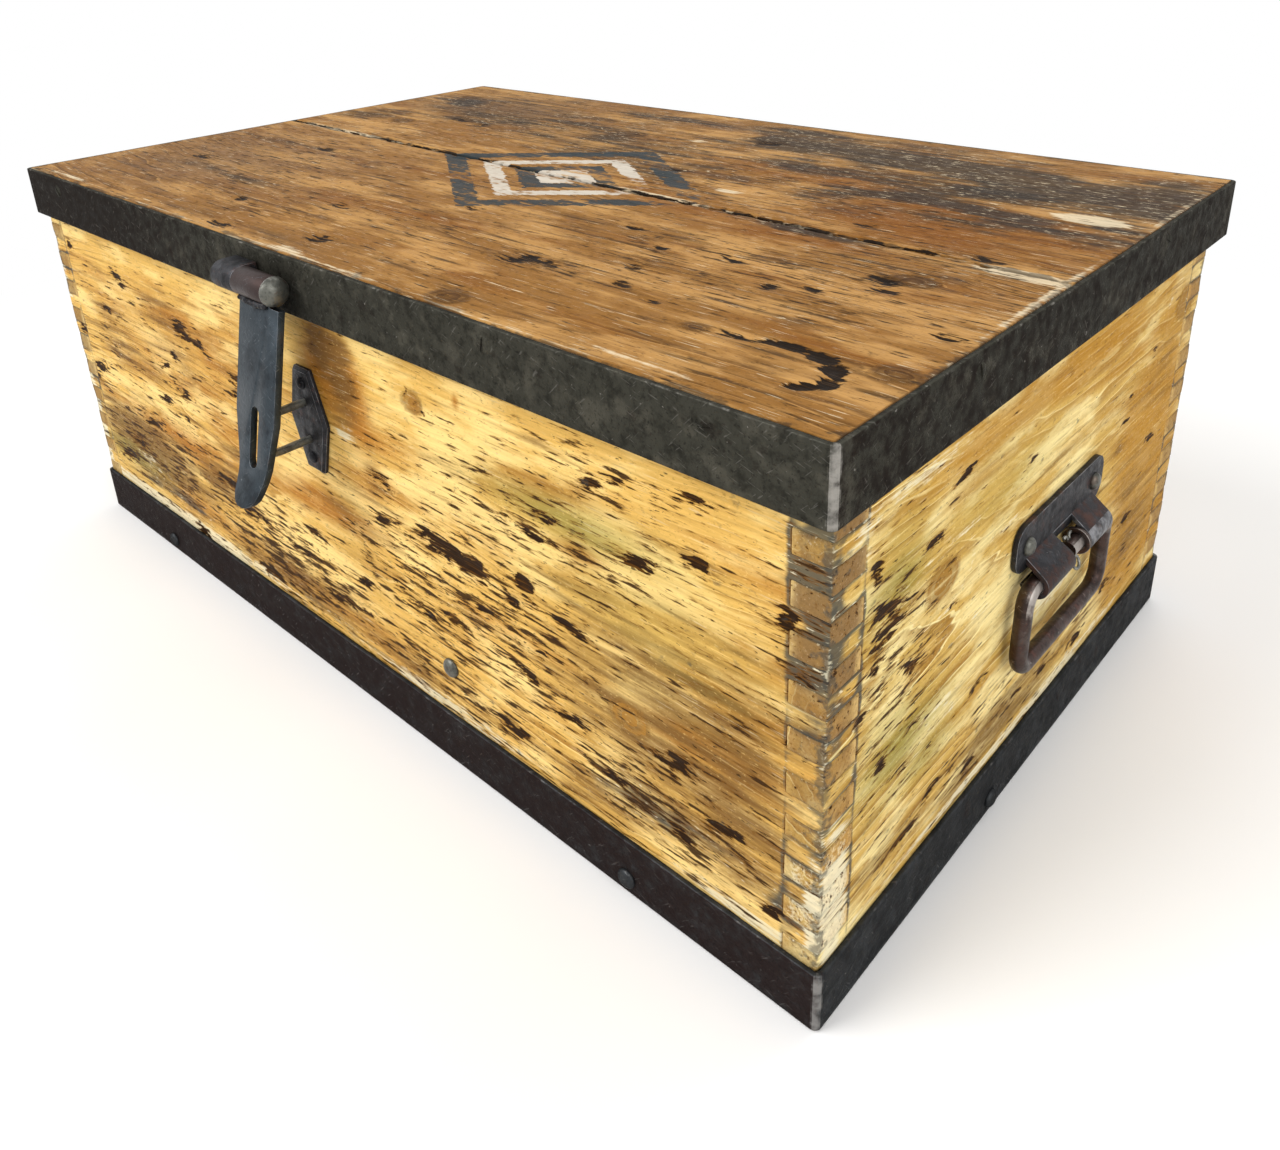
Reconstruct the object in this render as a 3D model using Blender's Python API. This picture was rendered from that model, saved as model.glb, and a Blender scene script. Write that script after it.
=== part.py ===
"""Plank chest: a comb-jointed pine box bound with flat iron, with a hinged lid, a hasp and two bails.

Metres, +Z up. X runs from left to right along the front and Y from the front to the back.
The origin is the middle of the box's footprint, on the floor.
"""

import math

import bmesh
import bpy
from mathutils import Matrix, Vector

# Clearance between two pieces that touch, and how far a cutter runs past a face
FIT = 0.0003
OVERCUT = 0.004

# Lid and overall height
LID_LENGTH = 0.780
LID_DEPTH = 0.486
CHEST_HEIGHT = 0.319
LID_THICKNESS = 0.022
LID_FRONT_PLANK = 0.223
LID_SEAM = 0.0012
OVERHANG_FRONT = 0.008
OVERHANG_SIDE = 0.0045
OVERHANG_BACK = 0.029
BATTEN_WIDTH = 0.045
BATTEN_THICKNESS = 0.020
BATTEN_SPREAD = 0.480
BATTEN_END_ROOM = 0.010

# Box boards and their comb joint
FRONT_THICKNESS = 0.025
END_THICKNESS = 0.020
BOTTOM_THICKNESS = 0.022
BOTTOM_PLANK_NAMES = ("front", "middle", "back")
FINGER_HEIGHT = 0.0125

# Flat iron strip round the lid and round the foot
STRIP_WIDTH = 0.038
STRIP_THICKNESS = 0.003
STRIP_INNER_BEND = 0.0006
STRIP_JOINT = 0.0008
CORNER_STEPS = 4

# Back hinges
HINGE_SPREAD = 0.460
HINGE_LENGTH = 0.075
HINGE_KNUCKLE_RADIUS = 0.005
HINGE_PIN_RADIUS = 0.0025
HINGE_LEAF_THICKNESS = 0.0025
HINGE_LEAF_DROP = 0.050
HINGE_BELOW_STRIP = 0.007
HINGE_PLAY = 0.0005
HINGE_FLANGE_ROOM = 0.002
HINGE_SCREW_SPACING = 0.052
HINGE_SCREW_DROP = 0.032

# Hasp
HASP_TUBE_RADIUS = 0.009
HASP_STANDOFF = 0.001
HASP_PIN_RADIUS = 0.004
HASP_PIN_HEAD_RADIUS = 0.0095
HASP_PIN_HEAD_HEIGHT = 0.007
HASP_PIN_RECESS = 0.010
HASP_PIN_HEAD_ROOM = 0.0006
HASP_PIN_TAIL_RADIUS = 0.0065
HASP_PIN_TAIL_HEIGHT = 0.003
HASP_KNUCKLE_LENGTH = 0.024
HASP_WIDTH = 0.044
HASP_THICKNESS = 0.0045
HASP_TIP_LENGTH = 0.024
HASP_TIP_WIDTH = 0.026
HASP_TIP_ROUND = 0.011
HASP_TIP_TURN = 0.008
HASP_TAPER_LENGTH = 0.046
HASP_TURN_LENGTH = 0.031
HASP_SLOT_WIDTH = 0.009
HASP_SLOT_PLAY = 0.004
HASP_REST_ANGLE = math.radians(12.5)

# Staple on the front, below the hasp's pin
STAPLE_DROP = 0.093
STAPLE_SPAN = 0.026
STAPLE_ROD_RADIUS = 0.00275
STAPLE_REACH = 0.033
STAPLE_BEND = 0.006
STAPLE_SUNK = 0.016
PLATE_WIDTH = 0.040
PLATE_END_WIDTH = 0.017
PLATE_LENGTH = 0.072
PLATE_THICKNESS = 0.004
PLATE_BEVEL = 0.002
PLATE_NAIL_SPACING = 0.052

# Lifting handles on the ends
HANDLE_SHIFT = 0.0095
HANDLE_HEIGHT = 0.155
HANDLE_PLATE_LENGTH = 0.118
HANDLE_PLATE_WIDTH = 0.029
HANDLE_PLATE_RISE = 0.037
HANDLE_PLATE_CORNER = 0.010
HANDLE_SHEET = 0.003
HANDLE_RIVET_SPACING = 0.090
HOOD_ROOM = 0.003
HOOD_WRAP = -165
NOTCH_LENGTH = 0.027
NOTCH_FROM_END = 0.031
NOTCH_SLANT = 0.009
BAIL_RADIUS = 0.005
BAIL_TOP_SPACING = 0.110
BAIL_FOOT_SPACING = 0.112
BAIL_DROP = 0.051
BAIL_SHOULDER = 0.009
BAIL_BEND = 0.011
BAIL_PLAY = 0.0007
BAIL_STUB = 0.015
BAIL_SET_BACK = 0.002
WASHER_THICKNESS = 0.0025
SPLIT_WIRE = 0.001
SPLIT_GAP = 0.0006
SPLIT_LOOP = 0.0038
SPLIT_SPLAY = 0.004
SPLIT_FROM_WASHER = 0.0072
SPLIT_LEAN = math.radians(-66)

# Nails, screws and rivets
STRIP_SCREW_RADIUS = 0.005
STRIP_SCREW_INSET = 0.062
STRIP_SCREW_SIDE = 0.190
STRIP_NAIL_RADIUS = 0.006
STRIP_NAIL_HEIGHT = 0.003
STRIP_NAIL_FROM_END = 0.120
STRIP_NAIL_SIDE = -0.048
RIVET_RADIUS = 0.0055
RIVET_HEIGHT = 0.0035
STAPLE_NAIL_RADIUS = 0.004
STAPLE_NAIL_HEIGHT = 0.002
BOLT_RADIUS = 0.0065
BOLT_HEIGHT = 0.0035
BOLT_X = 0.119
BOLT_HEIGHT_UP = 0.074
SHANK_RADIUS = 0.002
SHANK_LENGTH = 0.015
COUNTERSINK_DEPTH = 0.85
FASTENER_SIDES = 12
ROUND_SIDES = 24

# Places worked out from the sizes above
BOX_X = LID_LENGTH / 2 - OVERHANG_SIDE
BOX_Y = (LID_DEPTH - OVERHANG_FRONT - OVERHANG_BACK) / 2
LID_X = LID_LENGTH / 2
LID_FRONT = -BOX_Y - OVERHANG_FRONT
LID_BACK = BOX_Y + OVERHANG_BACK
LID_UNDERSIDE = CHEST_HEIGHT - LID_THICKNESS
RIM = LID_UNDERSIDE - FIT
WALL_FOOT = BOTTOM_THICKNESS + FIT
LID_STRIP_FOOT = CHEST_HEIGHT - STRIP_WIDTH
HINGE_Y = BOX_Y + FIT + HINGE_KNUCKLE_RADIUS
HINGE_Z = LID_STRIP_FOOT - HINGE_BELOW_STRIP
HASP_Y = LID_FRONT - HASP_STANDOFF - HASP_TUBE_RADIUS
HASP_Z = CHEST_HEIGHT - STRIP_WIDTH / 2
STAPLE_Z = HASP_Z - STAPLE_DROP
SLOT_HALF = STAPLE_SPAN / 2 + STAPLE_ROD_RADIUS + HASP_SLOT_PLAY
HASP_LENGTH = STAPLE_DROP + SLOT_HALF + HASP_TIP_LENGTH
BAIL_OUT = FIT + HANDLE_SHEET + BAIL_PLAY + BAIL_RADIUS
RIVET_RISE = HANDLE_PLATE_RISE - HANDLE_PLATE_WIDTH / 2
HOOD_RISE = RIVET_RISE - RIVET_RADIUS - HOOD_ROOM

# Finishes: colour, roughness and metallic value
FINISHES = {
    "body_pine": ((0.68, 0.44, 0.14, 1.0), 0.62, 0.0),
    "lid_pine": ((0.30, 0.15, 0.045, 1.0), 0.55, 0.0),
    "bare_pine": ((0.55, 0.38, 0.19, 1.0), 0.75, 0.0),
    "strip_iron": ((0.05, 0.05, 0.045, 1.0), 0.55, 0.8),
    "hasp_steel": ((0.11, 0.13, 0.14, 1.0), 0.42, 0.9),
    "handle_iron": ((0.045, 0.038, 0.036, 1.0), 0.5, 0.85),
    "fastener_iron": ((0.12, 0.12, 0.12, 1.0), 0.5, 0.9),
}


def clear_scene():
    """Remove every object that the file starts with."""
    for obj in list(bpy.data.objects):
        bpy.data.objects.remove(obj, do_unlink=True)


def finish_material(name):
    """The material of one finish, made on first use."""
    found = bpy.data.materials.get(name)
    if found:
        return found
    colour, roughness, metallic = FINISHES[name]
    made = bpy.data.materials.new(name)
    made.use_nodes = True
    shader = made.node_tree.nodes["Principled BSDF"]
    shader.inputs["Base Color"].default_value = colour
    shader.inputs["Roughness"].default_value = roughness
    shader.inputs["Metallic"].default_value = metallic
    made.diffuse_color = colour
    return made


def arc(centre, radius, start, end, steps):
    """Points on an arc about a 2-D centre, from start to end in degrees, both included."""
    angles = [math.radians(start + (end - start) * i / steps) for i in range(steps + 1)]
    return [(centre[0] + radius * math.cos(a), centre[1] + radius * math.sin(a)) for a in angles]


def rounded_path(points, radius, steps=6):
    """A path through 2-D points whose inner corners are arcs, each no larger than its two runs allow."""
    corners = [Vector(p) for p in points]
    path = [tuple(corners[0])]
    for before, corner, after in zip(corners, corners[1:], corners[2:]):
        back, on = (before - corner), (after - corner)
        half = back.angle(on) / 2
        reach = min(radius / math.tan(half), 0.45 * back.length, 0.45 * on.length)
        back.normalize()
        on.normalize()
        bend = reach * math.tan(half)
        centre = corner + (back + on).normalized() * (bend / math.sin(half))
        first, last = corner + back * reach - centre, corner + on * reach - centre
        sweep = first.angle_signed(last)
        for i in range(steps + 1):
            turn = Matrix.Rotation(-sweep * i / steps, 2)
            path.append(tuple(centre + turn @ first))
    path.append(tuple(corners[-1]))
    return path


class Solid:
    """One or more closed shapes gathered in a bmesh before they become an object."""

    def __init__(self):
        self.bm = bmesh.new()

    def loft(self, loops, smooth=False):
        """Add a closed shape through loops of equal length, with flat ends and, if asked, smooth sides."""
        rings = [[self.bm.verts.new(p) for p in loop] for loop in loops]
        count = len(rings[0])
        faces = [self.bm.faces.new(rings[0]), self.bm.faces.new(rings[-1])]
        for low, high in zip(rings, rings[1:]):
            for i in range(count):
                j = (i + 1) % count
                side = self.bm.faces.new((low[i], low[j], high[j], high[i]))
                side.smooth = smooth
                faces.append(side)
        bmesh.ops.recalc_face_normals(self.bm, faces=faces)
        return self

    def prism(self, outline, axis, start, end, smooth=False):
        """Add a 2-D outline extruded along X, Y or Z; its two coordinates are the other axes in order."""
        place = {
            "X": lambda a, b, h: (h, a, b),
            "Y": lambda a, b, h: (a, h, b),
            "Z": lambda a, b, h: (a, b, h),
        }[axis]
        return self.loft([[place(a, b, h) for a, b in outline] for h in (start, end)], smooth)

    def box(self, low, high):
        """Add a block between two corners."""
        outline = [(low[0], low[1]), (high[0], low[1]), (high[0], high[1]), (low[0], high[1])]
        return self.prism(outline, "Z", low[2], high[2])

    def turned(self, profile, origin, direction, sides=ROUND_SIDES):
        """Add a turned shape: (radius, height) points from axis to axis, the height along direction."""
        turn = Vector((0, 0, 1)).rotation_difference(Vector(direction)).to_matrix().to_4x4()
        place = Matrix.Translation(origin) @ turn
        rings = []
        for radius, height in profile:
            spots = sides if radius > 0 else 1
            angles = [2 * math.pi * i / sides for i in range(spots)]
            rim = [Vector((radius * math.cos(a), radius * math.sin(a), height)) for a in angles]
            rings.append([self.bm.verts.new(place @ p) for p in rim])
        faces = []
        for low, high in zip(rings, rings[1:]):
            for i in range(sides):
                j = (i + 1) % sides
                corners = [low[i % len(low)], low[j % len(low)], high[j % len(high)], high[i % len(high)]]
                side = self.bm.faces.new(list(dict.fromkeys(corners)))
                side.smooth = True
                faces.append(side)
        bmesh.ops.recalc_face_normals(self.bm, faces=faces)
        return self

    def rod(self, radius, start, end, sides=ROUND_SIDES):
        """Add a plain round bar between two points."""
        run = Vector(end) - Vector(start)
        profile = [(0, 0), (radius, 0), (radius, run.length), (0, run.length)]
        return self.turned(profile, start, run.normalized(), sides)

    def tube(self, path, radius, normal, sides):
        """Add a round bar along 3-D points that lie in one plane with the given normal."""
        points = [Vector(p) for p in path]
        normal = Vector(normal)
        loops = []
        for i, point in enumerate(points):
            ahead = (points[min(i + 1, len(points) - 1)] - point).normalized()
            behind = (point - points[max(i - 1, 0)]).normalized()
            across = (ahead + behind).normalized().cross(normal)
            spokes = [2 * math.pi * k / sides for k in range(sides)]
            loops.append([point + (across * math.cos(a) + normal * math.sin(a)) * radius for a in spokes])
        return self.loft(loops, smooth=True)

    def made(self, name):
        """The mesh object, linked to the scene."""
        mesh = bpy.data.meshes.new(name)
        flags = [face.smooth for face in self.bm.faces]
        self.bm.to_mesh(mesh)
        self.bm.free()
        mesh.set_sharp_from_angle(angle=math.radians(32))
        mesh.polygons.foreach_set("use_smooth", flags)
        obj = bpy.data.objects.new(name, mesh)
        bpy.context.scene.collection.objects.link(obj)
        return obj


def piece(name, solid, finish, axis=None):
    """A visible sub-part. A moving one hangs from the empty on its joint's axis and keeps its place."""
    obj = solid.made(name)
    obj.data.materials.append(finish_material(finish))
    if axis:
        obj.parent = axis
        obj.matrix_parent_inverse = axis.matrix_world.inverted()
    return obj


def helper(name, solid, axis=None):
    """A shape that only cuts or joins."""
    obj = solid.made(name)
    obj.hide_render = True
    obj.display_type = "WIRE"
    if axis:
        obj.parent = axis
        obj.matrix_parent_inverse = axis.matrix_world.inverted()
    return obj


def shape(target, tool, operation="DIFFERENCE"):
    """Cut the tool out of the target, or join it on."""
    boolean = target.modifiers.new(tool.name, "BOOLEAN")
    boolean.operation = operation
    boolean.solver = "EXACT"
    boolean.object = tool


def joint_axis(name, location, parent=None):
    """An empty on a joint's axis, for the pieces that turn there."""
    empty = bpy.data.objects.new(name, None)
    empty.empty_display_size = 0.03
    bpy.context.scene.collection.objects.link(empty)
    empty.location = location
    if parent:
        empty.parent = parent
        empty.matrix_parent_inverse = parent.matrix_world.inverted()
    bpy.context.view_layer.update()
    return empty


def domed(radius, height, length=SHANK_LENGTH):
    """(solid, hole) profiles of a round-headed nail whose head sits on the surface at height 0."""
    dome = [(radius * math.cos(a), FIT + height * math.sin(a)) for a in (math.pi / 3, math.pi / 6, 0)]
    solid = [(0, FIT + height), *dome, (SHANK_RADIUS, FIT), (SHANK_RADIUS, -length), (0, -length)]
    bore = SHANK_RADIUS + FIT
    return solid, [(0, OVERCUT), (bore, OVERCUT), (bore, -length - FIT), (0, -length - FIT)]


def countersunk(radius, length=SHANK_LENGTH):
    """(solid, hole) profiles of a screw whose flat head is flush with the surface at height 0."""
    cone = (radius - SHANK_RADIUS) * COUNTERSINK_DEPTH
    solid = [(0, 0), (radius, 0), (SHANK_RADIUS, -cone), (SHANK_RADIUS, -length), (0, -length)]
    wide, bore = radius + 2 * FIT, SHANK_RADIUS + 2 * FIT
    end = -length - FIT
    hole = [(0, OVERCUT), (wide, OVERCUT), (wide, 0), (bore, -cone), (bore, end), (0, end)]
    return solid, hole


class Fasteners:
    """A set of like nails or screws, and the holes that they need in the pieces they go through."""

    def __init__(self, kind, seats, direction):
        self.solid, self.hole = kind
        self.seats = seats
        self.direction = direction

    def make(self, name, axis=None, finish="fastener_iron"):
        """One sub-part for each fastener, numbered where there are several."""
        for number, seat in enumerate(self.seats, 1):
            label = f"{name}_{number}" if len(self.seats) > 1 else name
            solid = Solid().turned(self.solid, seat, self.direction, FASTENER_SIDES)
            piece(label, solid, finish, axis)

    def drill(self, name, targets, axis=None):
        """Cut the holes in the targets."""
        holes = Solid()
        for seat in self.seats:
            holes.turned(self.hole, seat, self.direction, FASTENER_SIDES)
        tool = helper(name + "_holes", holes, axis)
        for target in targets:
            shape(target, tool)


def comb_outline(reach, root, first):
    """Outline of a wall board with comb fingers at both ends; first is 0 or 1, the lowest finger's slot."""
    count = 2 * max(1, round((RIM - WALL_FOOT) / FINGER_HEIGHT / 2))
    pitch = (RIM - WALL_FOOT) / count
    right = []
    for slot in range(first, count, 2):
        low = WALL_FOOT + slot * pitch + (FIT / 2 if slot else 0)
        high = WALL_FOOT + (slot + 1) * pitch - (FIT / 2 if slot < count - 1 else 0)
        right += [(root, low), (reach, low), (reach, high), (root, high)]
    if first:
        right = [(root, WALL_FOOT)] + right[:-1]
    else:
        right = right[1:] + [(root, RIM)]
    return right + [(-x, z) for x, z in reversed(right)]


def strip_loops(inner_x, inner_front, inner_back, foot):
    """Sections of a flat strip bent round a rectangle, its two ends meeting at the back."""
    bend = STRIP_INNER_BEND
    x, front, back = inner_x - bend, inner_front + bend, inner_back - bend
    walls = []
    for radius in (bend + STRIP_THICKNESS, bend):
        wall = [(STRIP_JOINT / 2, back + radius)]
        wall += arc((x, back), radius, 90, 0, CORNER_STEPS)
        wall += arc((x, front), radius, 0, -90, CORNER_STEPS)
        wall += arc((-x, front), radius, -90, -180, CORNER_STEPS)
        wall += arc((-x, back), radius, 180, 90, CORNER_STEPS)
        wall += [(-STRIP_JOINT / 2, back + radius)]
        walls.append(wall)
    top = foot + STRIP_WIDTH
    return [[(*out, foot), (*out, top), (*inside, top), (*inside, foot)] for out, inside in zip(*walls)]


def build_boards():
    """The four walls, each cut with its half of the comb joint."""
    front_outline = comb_outline(BOX_X, BOX_X - END_THICKNESS - FIT, 0)
    end_outline = comb_outline(BOX_Y, BOX_Y - FRONT_THICKNESS - FIT, 1)
    inner_y, inner_x = BOX_Y - FRONT_THICKNESS, BOX_X - END_THICKNESS
    return {
        "front": piece("front_board", Solid().prism(front_outline, "Y", -BOX_Y, -inner_y), "body_pine"),
        "back": piece("back_board", Solid().prism(front_outline, "Y", inner_y, BOX_Y), "body_pine"),
        "left": piece("left_end_board", Solid().prism(end_outline, "X", -BOX_X, -inner_x), "body_pine"),
        "right": piece("right_end_board", Solid().prism(end_outline, "X", inner_x, BOX_X), "body_pine"),
    }


def build_bottom():
    """The bottom planks, the strip round the foot and its nails."""
    count = len(BOTTOM_PLANK_NAMES)
    width = (2 * BOX_Y - (count - 1) * FIT) / count
    planks = {}
    for i, name in enumerate(BOTTOM_PLANK_NAMES):
        low = -BOX_Y + i * (width + FIT)
        block = Solid().box((-BOX_X, low, 0), (BOX_X, low + width, BOTTOM_THICKNESS))
        planks[name] = piece(f"bottom_plank_{name}", block, "bare_pine")
    loops = strip_loops(BOX_X + FIT, -BOX_Y - FIT, BOX_Y + FIT, 0)
    strip = piece("bottom_strip", Solid().loft(loops), "strip_iron")
    nail = domed(STRIP_NAIL_RADIUS, STRIP_NAIL_HEIGHT)
    out, up = FIT + STRIP_THICKNESS, BOTTOM_THICKNESS / 2
    across = BOX_X - STRIP_NAIL_FROM_END
    rows = {
        "front": ([(x, -BOX_Y - out, up) for x in (-across, across)], (0, -1, 0), "front"),
        "left": ([(-BOX_X - out, STRIP_NAIL_SIDE, up)], (-1, 0, 0), "middle"),
        "right": ([(BOX_X + out, STRIP_NAIL_SIDE, up)], (1, 0, 0), "middle"),
    }
    for side, (seats, direction, plank) in rows.items():
        nails = Fasteners(nail, seats, direction)
        nails.make(f"bottom_nail_{side}")
        nails.drill(f"bottom_nail_{side}", [strip, planks[plank]])


def build_staple(front_board):
    """The staple's plate, its loop and nails, and the bolt head low on the front."""
    face = -BOX_Y - FIT
    mid, end, half = PLATE_WIDTH / 2, PLATE_END_WIDTH / 2, PLATE_LENGTH / 2
    hexagon = [(end, -half), (mid, 0), (end, half), (-end, half), (-mid, 0), (-end, -half)]
    levels = ((0, 0), (PLATE_THICKNESS - PLATE_BEVEL, 0), (PLATE_THICKNESS, PLATE_BEVEL))
    loops = []
    for rise, inset in levels:
        shrink_x, shrink_z = 1 - inset / mid, 1 - inset / half
        loops.append([(x * shrink_x, face - rise, STAPLE_Z + z * shrink_z) for x, z in hexagon])
    plate = piece("staple_plate", Solid().loft(loops), "handle_iron")

    tip = -BOX_Y - STAPLE_REACH + STAPLE_ROD_RADIUS
    root = -BOX_Y + STAPLE_SUNK
    low, high = STAPLE_Z - STAPLE_SPAN / 2, STAPLE_Z + STAPLE_SPAN / 2
    bent = rounded_path([(root, low), (tip, low), (tip, high), (root, high)], STAPLE_BEND)
    path = [(0, y, z) for y, z in bent]
    piece("staple_loop", Solid().tube(path, STAPLE_ROD_RADIUS, (1, 0, 0), FASTENER_SIDES), "handle_iron")
    holes = Solid()
    for z in (low, high):
        holes.rod(STAPLE_ROD_RADIUS + FIT, (0, face - PLATE_THICKNESS - OVERCUT, z), (0, root + FIT, z))
    leg_holes = helper("staple_leg_holes", holes)
    for target in (plate, front_board):
        shape(target, leg_holes)

    seats = [(0, face - PLATE_THICKNESS, STAPLE_Z + s * PLATE_NAIL_SPACING / 2) for s in (-1, 1)]
    nails = Fasteners(domed(STAPLE_NAIL_RADIUS, STAPLE_NAIL_HEIGHT), seats, (0, -1, 0))
    nails.make("staple_nail")
    nails.drill("staple_nail", [plate, front_board])
    bolt = Fasteners(domed(BOLT_RADIUS, BOLT_HEIGHT), [(BOLT_X, -BOX_Y, BOLT_HEIGHT_UP)], (0, -1, 0))
    bolt.make("front_bolt")
    bolt.drill("front_bolt", [front_board])


def build_lid(axis):
    """The lid's planks, battens and strip, with the strip's screws."""
    inner_x = LID_X - STRIP_THICKNESS
    inner_front, inner_back = LID_FRONT + STRIP_THICKNESS, LID_BACK - STRIP_THICKNESS
    plank_x, first, last = inner_x - FIT, inner_front + FIT, inner_back - FIT
    seam = first + LID_FRONT_PLANK
    runs = {"front": (first, seam), "back": (seam + LID_SEAM, last)}
    planks = {}
    for name, (low, high) in runs.items():
        block = Solid().box((-plank_x, low, LID_UNDERSIDE), (plank_x, high, CHEST_HEIGHT))
        planks[name] = piece(f"lid_{name}_plank", block, "lid_pine", axis)
    batten_y = BOX_Y - FRONT_THICKNESS - BATTEN_END_ROOM
    top = LID_UNDERSIDE - FIT
    for name, side in (("left", -1), ("right", 1)):
        x = side * BATTEN_SPREAD / 2
        low = (x - BATTEN_WIDTH / 2, -batten_y, top - BATTEN_THICKNESS)
        block = Solid().box(low, (x + BATTEN_WIDTH / 2, batten_y, top))
        piece(f"lid_{name}_batten", block, "bare_pine", axis)
    loops = strip_loops(inner_x, inner_front, inner_back, LID_STRIP_FOOT)
    lid_strip = piece("lid_strip", Solid().loft(loops), "strip_iron", axis)

    screw = countersunk(STRIP_SCREW_RADIUS)
    up = CHEST_HEIGHT - LID_THICKNESS / 2
    ends = LID_X - STRIP_SCREW_INSET
    middles = [sum(run) / 2 for run in runs.values()]
    rows = {
        "front": ([(x, LID_FRONT, up) for x in (-ends, STRIP_SCREW_SIDE, ends)], (0, -1, 0)),
        "left": ([(-LID_X, y, up) for y in middles], (-1, 0, 0)),
        "right": ([(LID_X, y, up) for y in middles], (1, 0, 0)),
    }
    for side, (seats, direction) in rows.items():
        screws = Fasteners(screw, seats, direction)
        screws.make(f"lid_screw_{side}", axis)
        through = [planks["front"]] if side == "front" else list(planks.values())
        screws.drill(f"lid_screw_{side}", [lid_strip, *through], axis)
    return planks["back"]


def leaf_outlines():
    """Sections of the two hinge leaves about the pin at (0, 0): the box leaf and the lid leaf."""
    radius, sheet = HINGE_KNUCKLE_RADIUS, HINGE_LEAF_THICKNESS
    meets = math.degrees(math.acos((sheet - radius) / radius))
    rise = LID_UNDERSIDE - FIT - HINGE_Z
    flange = LID_BACK - STRIP_THICKNESS - HINGE_FLANGE_ROOM - HINGE_Y
    box_leaf = [(-radius, -HINGE_LEAF_DROP)]
    box_leaf += arc((0, 0), radius, 180, -meets, ROUND_SIDES)
    box_leaf += [(sheet - radius, -HINGE_LEAF_DROP)]
    lid_leaf = [(-radius, rise), (flange, rise), (flange, rise - sheet), (sheet - radius, rise - sheet)]
    lid_leaf += arc((0, 0), radius, meets, -180, ROUND_SIDES)
    return box_leaf, lid_leaf


def build_hinge(name, x, axis, back_board, lid_plank):
    """One back hinge: a leaf on the box, a cranked leaf under the lid's overhang, and the pin."""
    ends = (x - HINGE_LENGTH / 2, x + HINGE_LENGTH / 2)
    sections = [[(HINGE_Y + y, HINGE_Z + z) for y, z in section] for section in leaf_outlines()]
    straight = Solid().prism(sections[0], "X", *ends, smooth=True)
    box_leaf = piece(f"{name}_hinge_box_leaf", straight, "handle_iron")
    cranked = Solid().prism(sections[1], "X", *ends, smooth=True)
    lid_leaf = piece(f"{name}_hinge_lid_leaf", cranked, "handle_iron", axis)

    clear = HINGE_KNUCKLE_RADIUS + HINGE_PLAY
    third, half = HINGE_LENGTH / 6, HINGE_LENGTH / 2 + OVERCUT
    notch = [(HINGE_Y - clear, HINGE_Z - clear), (HINGE_Y + clear, HINGE_Z + clear)]
    runs = {
        "box": [(-third - FIT / 2, third + FIT / 2)],
        "lid": [(-half, -third + FIT / 2), (third - FIT / 2, half)],
    }
    bore_ends = ((x - half, HINGE_Y, HINGE_Z), (x + half, HINGE_Y, HINGE_Z))
    for label, leaf, rides in (("box", box_leaf, None), ("lid", lid_leaf, axis)):
        notches = Solid()
        for low, high in runs[label]:
            notches.box((x + low, *notch[0]), (x + high, *notch[1]))
        shape(leaf, helper(f"{name}_hinge_{label}_notches", notches, rides))
        bore = Solid().rod(HINGE_PIN_RADIUS + FIT, *bore_ends)
        shape(leaf, helper(f"{name}_hinge_{label}_bore", bore, rides))
    pin_ends = ((ends[0], HINGE_Y, HINGE_Z), (ends[1], HINGE_Y, HINGE_Z))
    pin = Solid().rod(HINGE_PIN_RADIUS, *pin_ends, FASTENER_SIDES)
    piece(f"{name}_hinge_pin", pin, "fastener_iron")

    screw = countersunk(2 * SHANK_RADIUS)
    across = (x - HINGE_SCREW_SPACING / 2, x + HINGE_SCREW_SPACING / 2)
    face = HINGE_Y - HINGE_KNUCKLE_RADIUS + HINGE_LEAF_THICKNESS
    box_screws = Fasteners(screw, [(s, face, HINGE_Z - HINGE_SCREW_DROP) for s in across], (0, 1, 0))
    box_screws.make(f"{name}_hinge_box_screw")
    box_screws.drill(f"{name}_hinge_box_screw", [box_leaf, back_board])
    under = LID_UNDERSIDE - FIT - HINGE_LEAF_THICKNESS
    mid = (face + LID_BACK - STRIP_THICKNESS - HINGE_FLANGE_ROOM) / 2
    lid_screws = Fasteners(screw, [(s, mid, under) for s in across], (0, 0, -1))
    lid_screws.make(f"{name}_hinge_lid_screw", axis)
    lid_screws.drill(f"{name}_hinge_lid_screw", [lid_leaf, lid_plank], axis)


def strap_loops():
    """Sections of the hasp's strap, hanging straight down from its pin at the origin, front towards -Y."""
    flat = HASP_LENGTH - HASP_TIP_ROUND
    taper_start = flat - HASP_TAPER_LENGTH
    turn_start = HASP_LENGTH - HASP_TURN_LENGTH
    stations = [HASP_TUBE_RADIUS * 0.6, taper_start]
    stations += [taper_start + HASP_TAPER_LENGTH * i / 6 for i in range(1, 7)]
    stations += [flat + HASP_TIP_ROUND * math.sin(math.radians(a)) for a in (25, 45, 62, 76)]
    loops = []
    for s in stations:
        taper = min(max((s - taper_start) / HASP_TAPER_LENGTH, 0), 1)
        half = (HASP_WIDTH + (HASP_TIP_WIDTH - HASP_WIDTH) * taper) / 2
        if s > flat:
            half *= math.sqrt(1 - ((s - flat) / HASP_TIP_ROUND) ** 2)
        turned = max(0, (s - turn_start) / HASP_TURN_LENGTH)
        front = -HASP_TIP_TURN * turned**2 - HASP_THICKNESS / 2
        back = front + HASP_THICKNESS
        loops.append([(-half, front, -s), (half, front, -s), (half, back, -s), (-half, back, -s)])
    return loops


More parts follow.
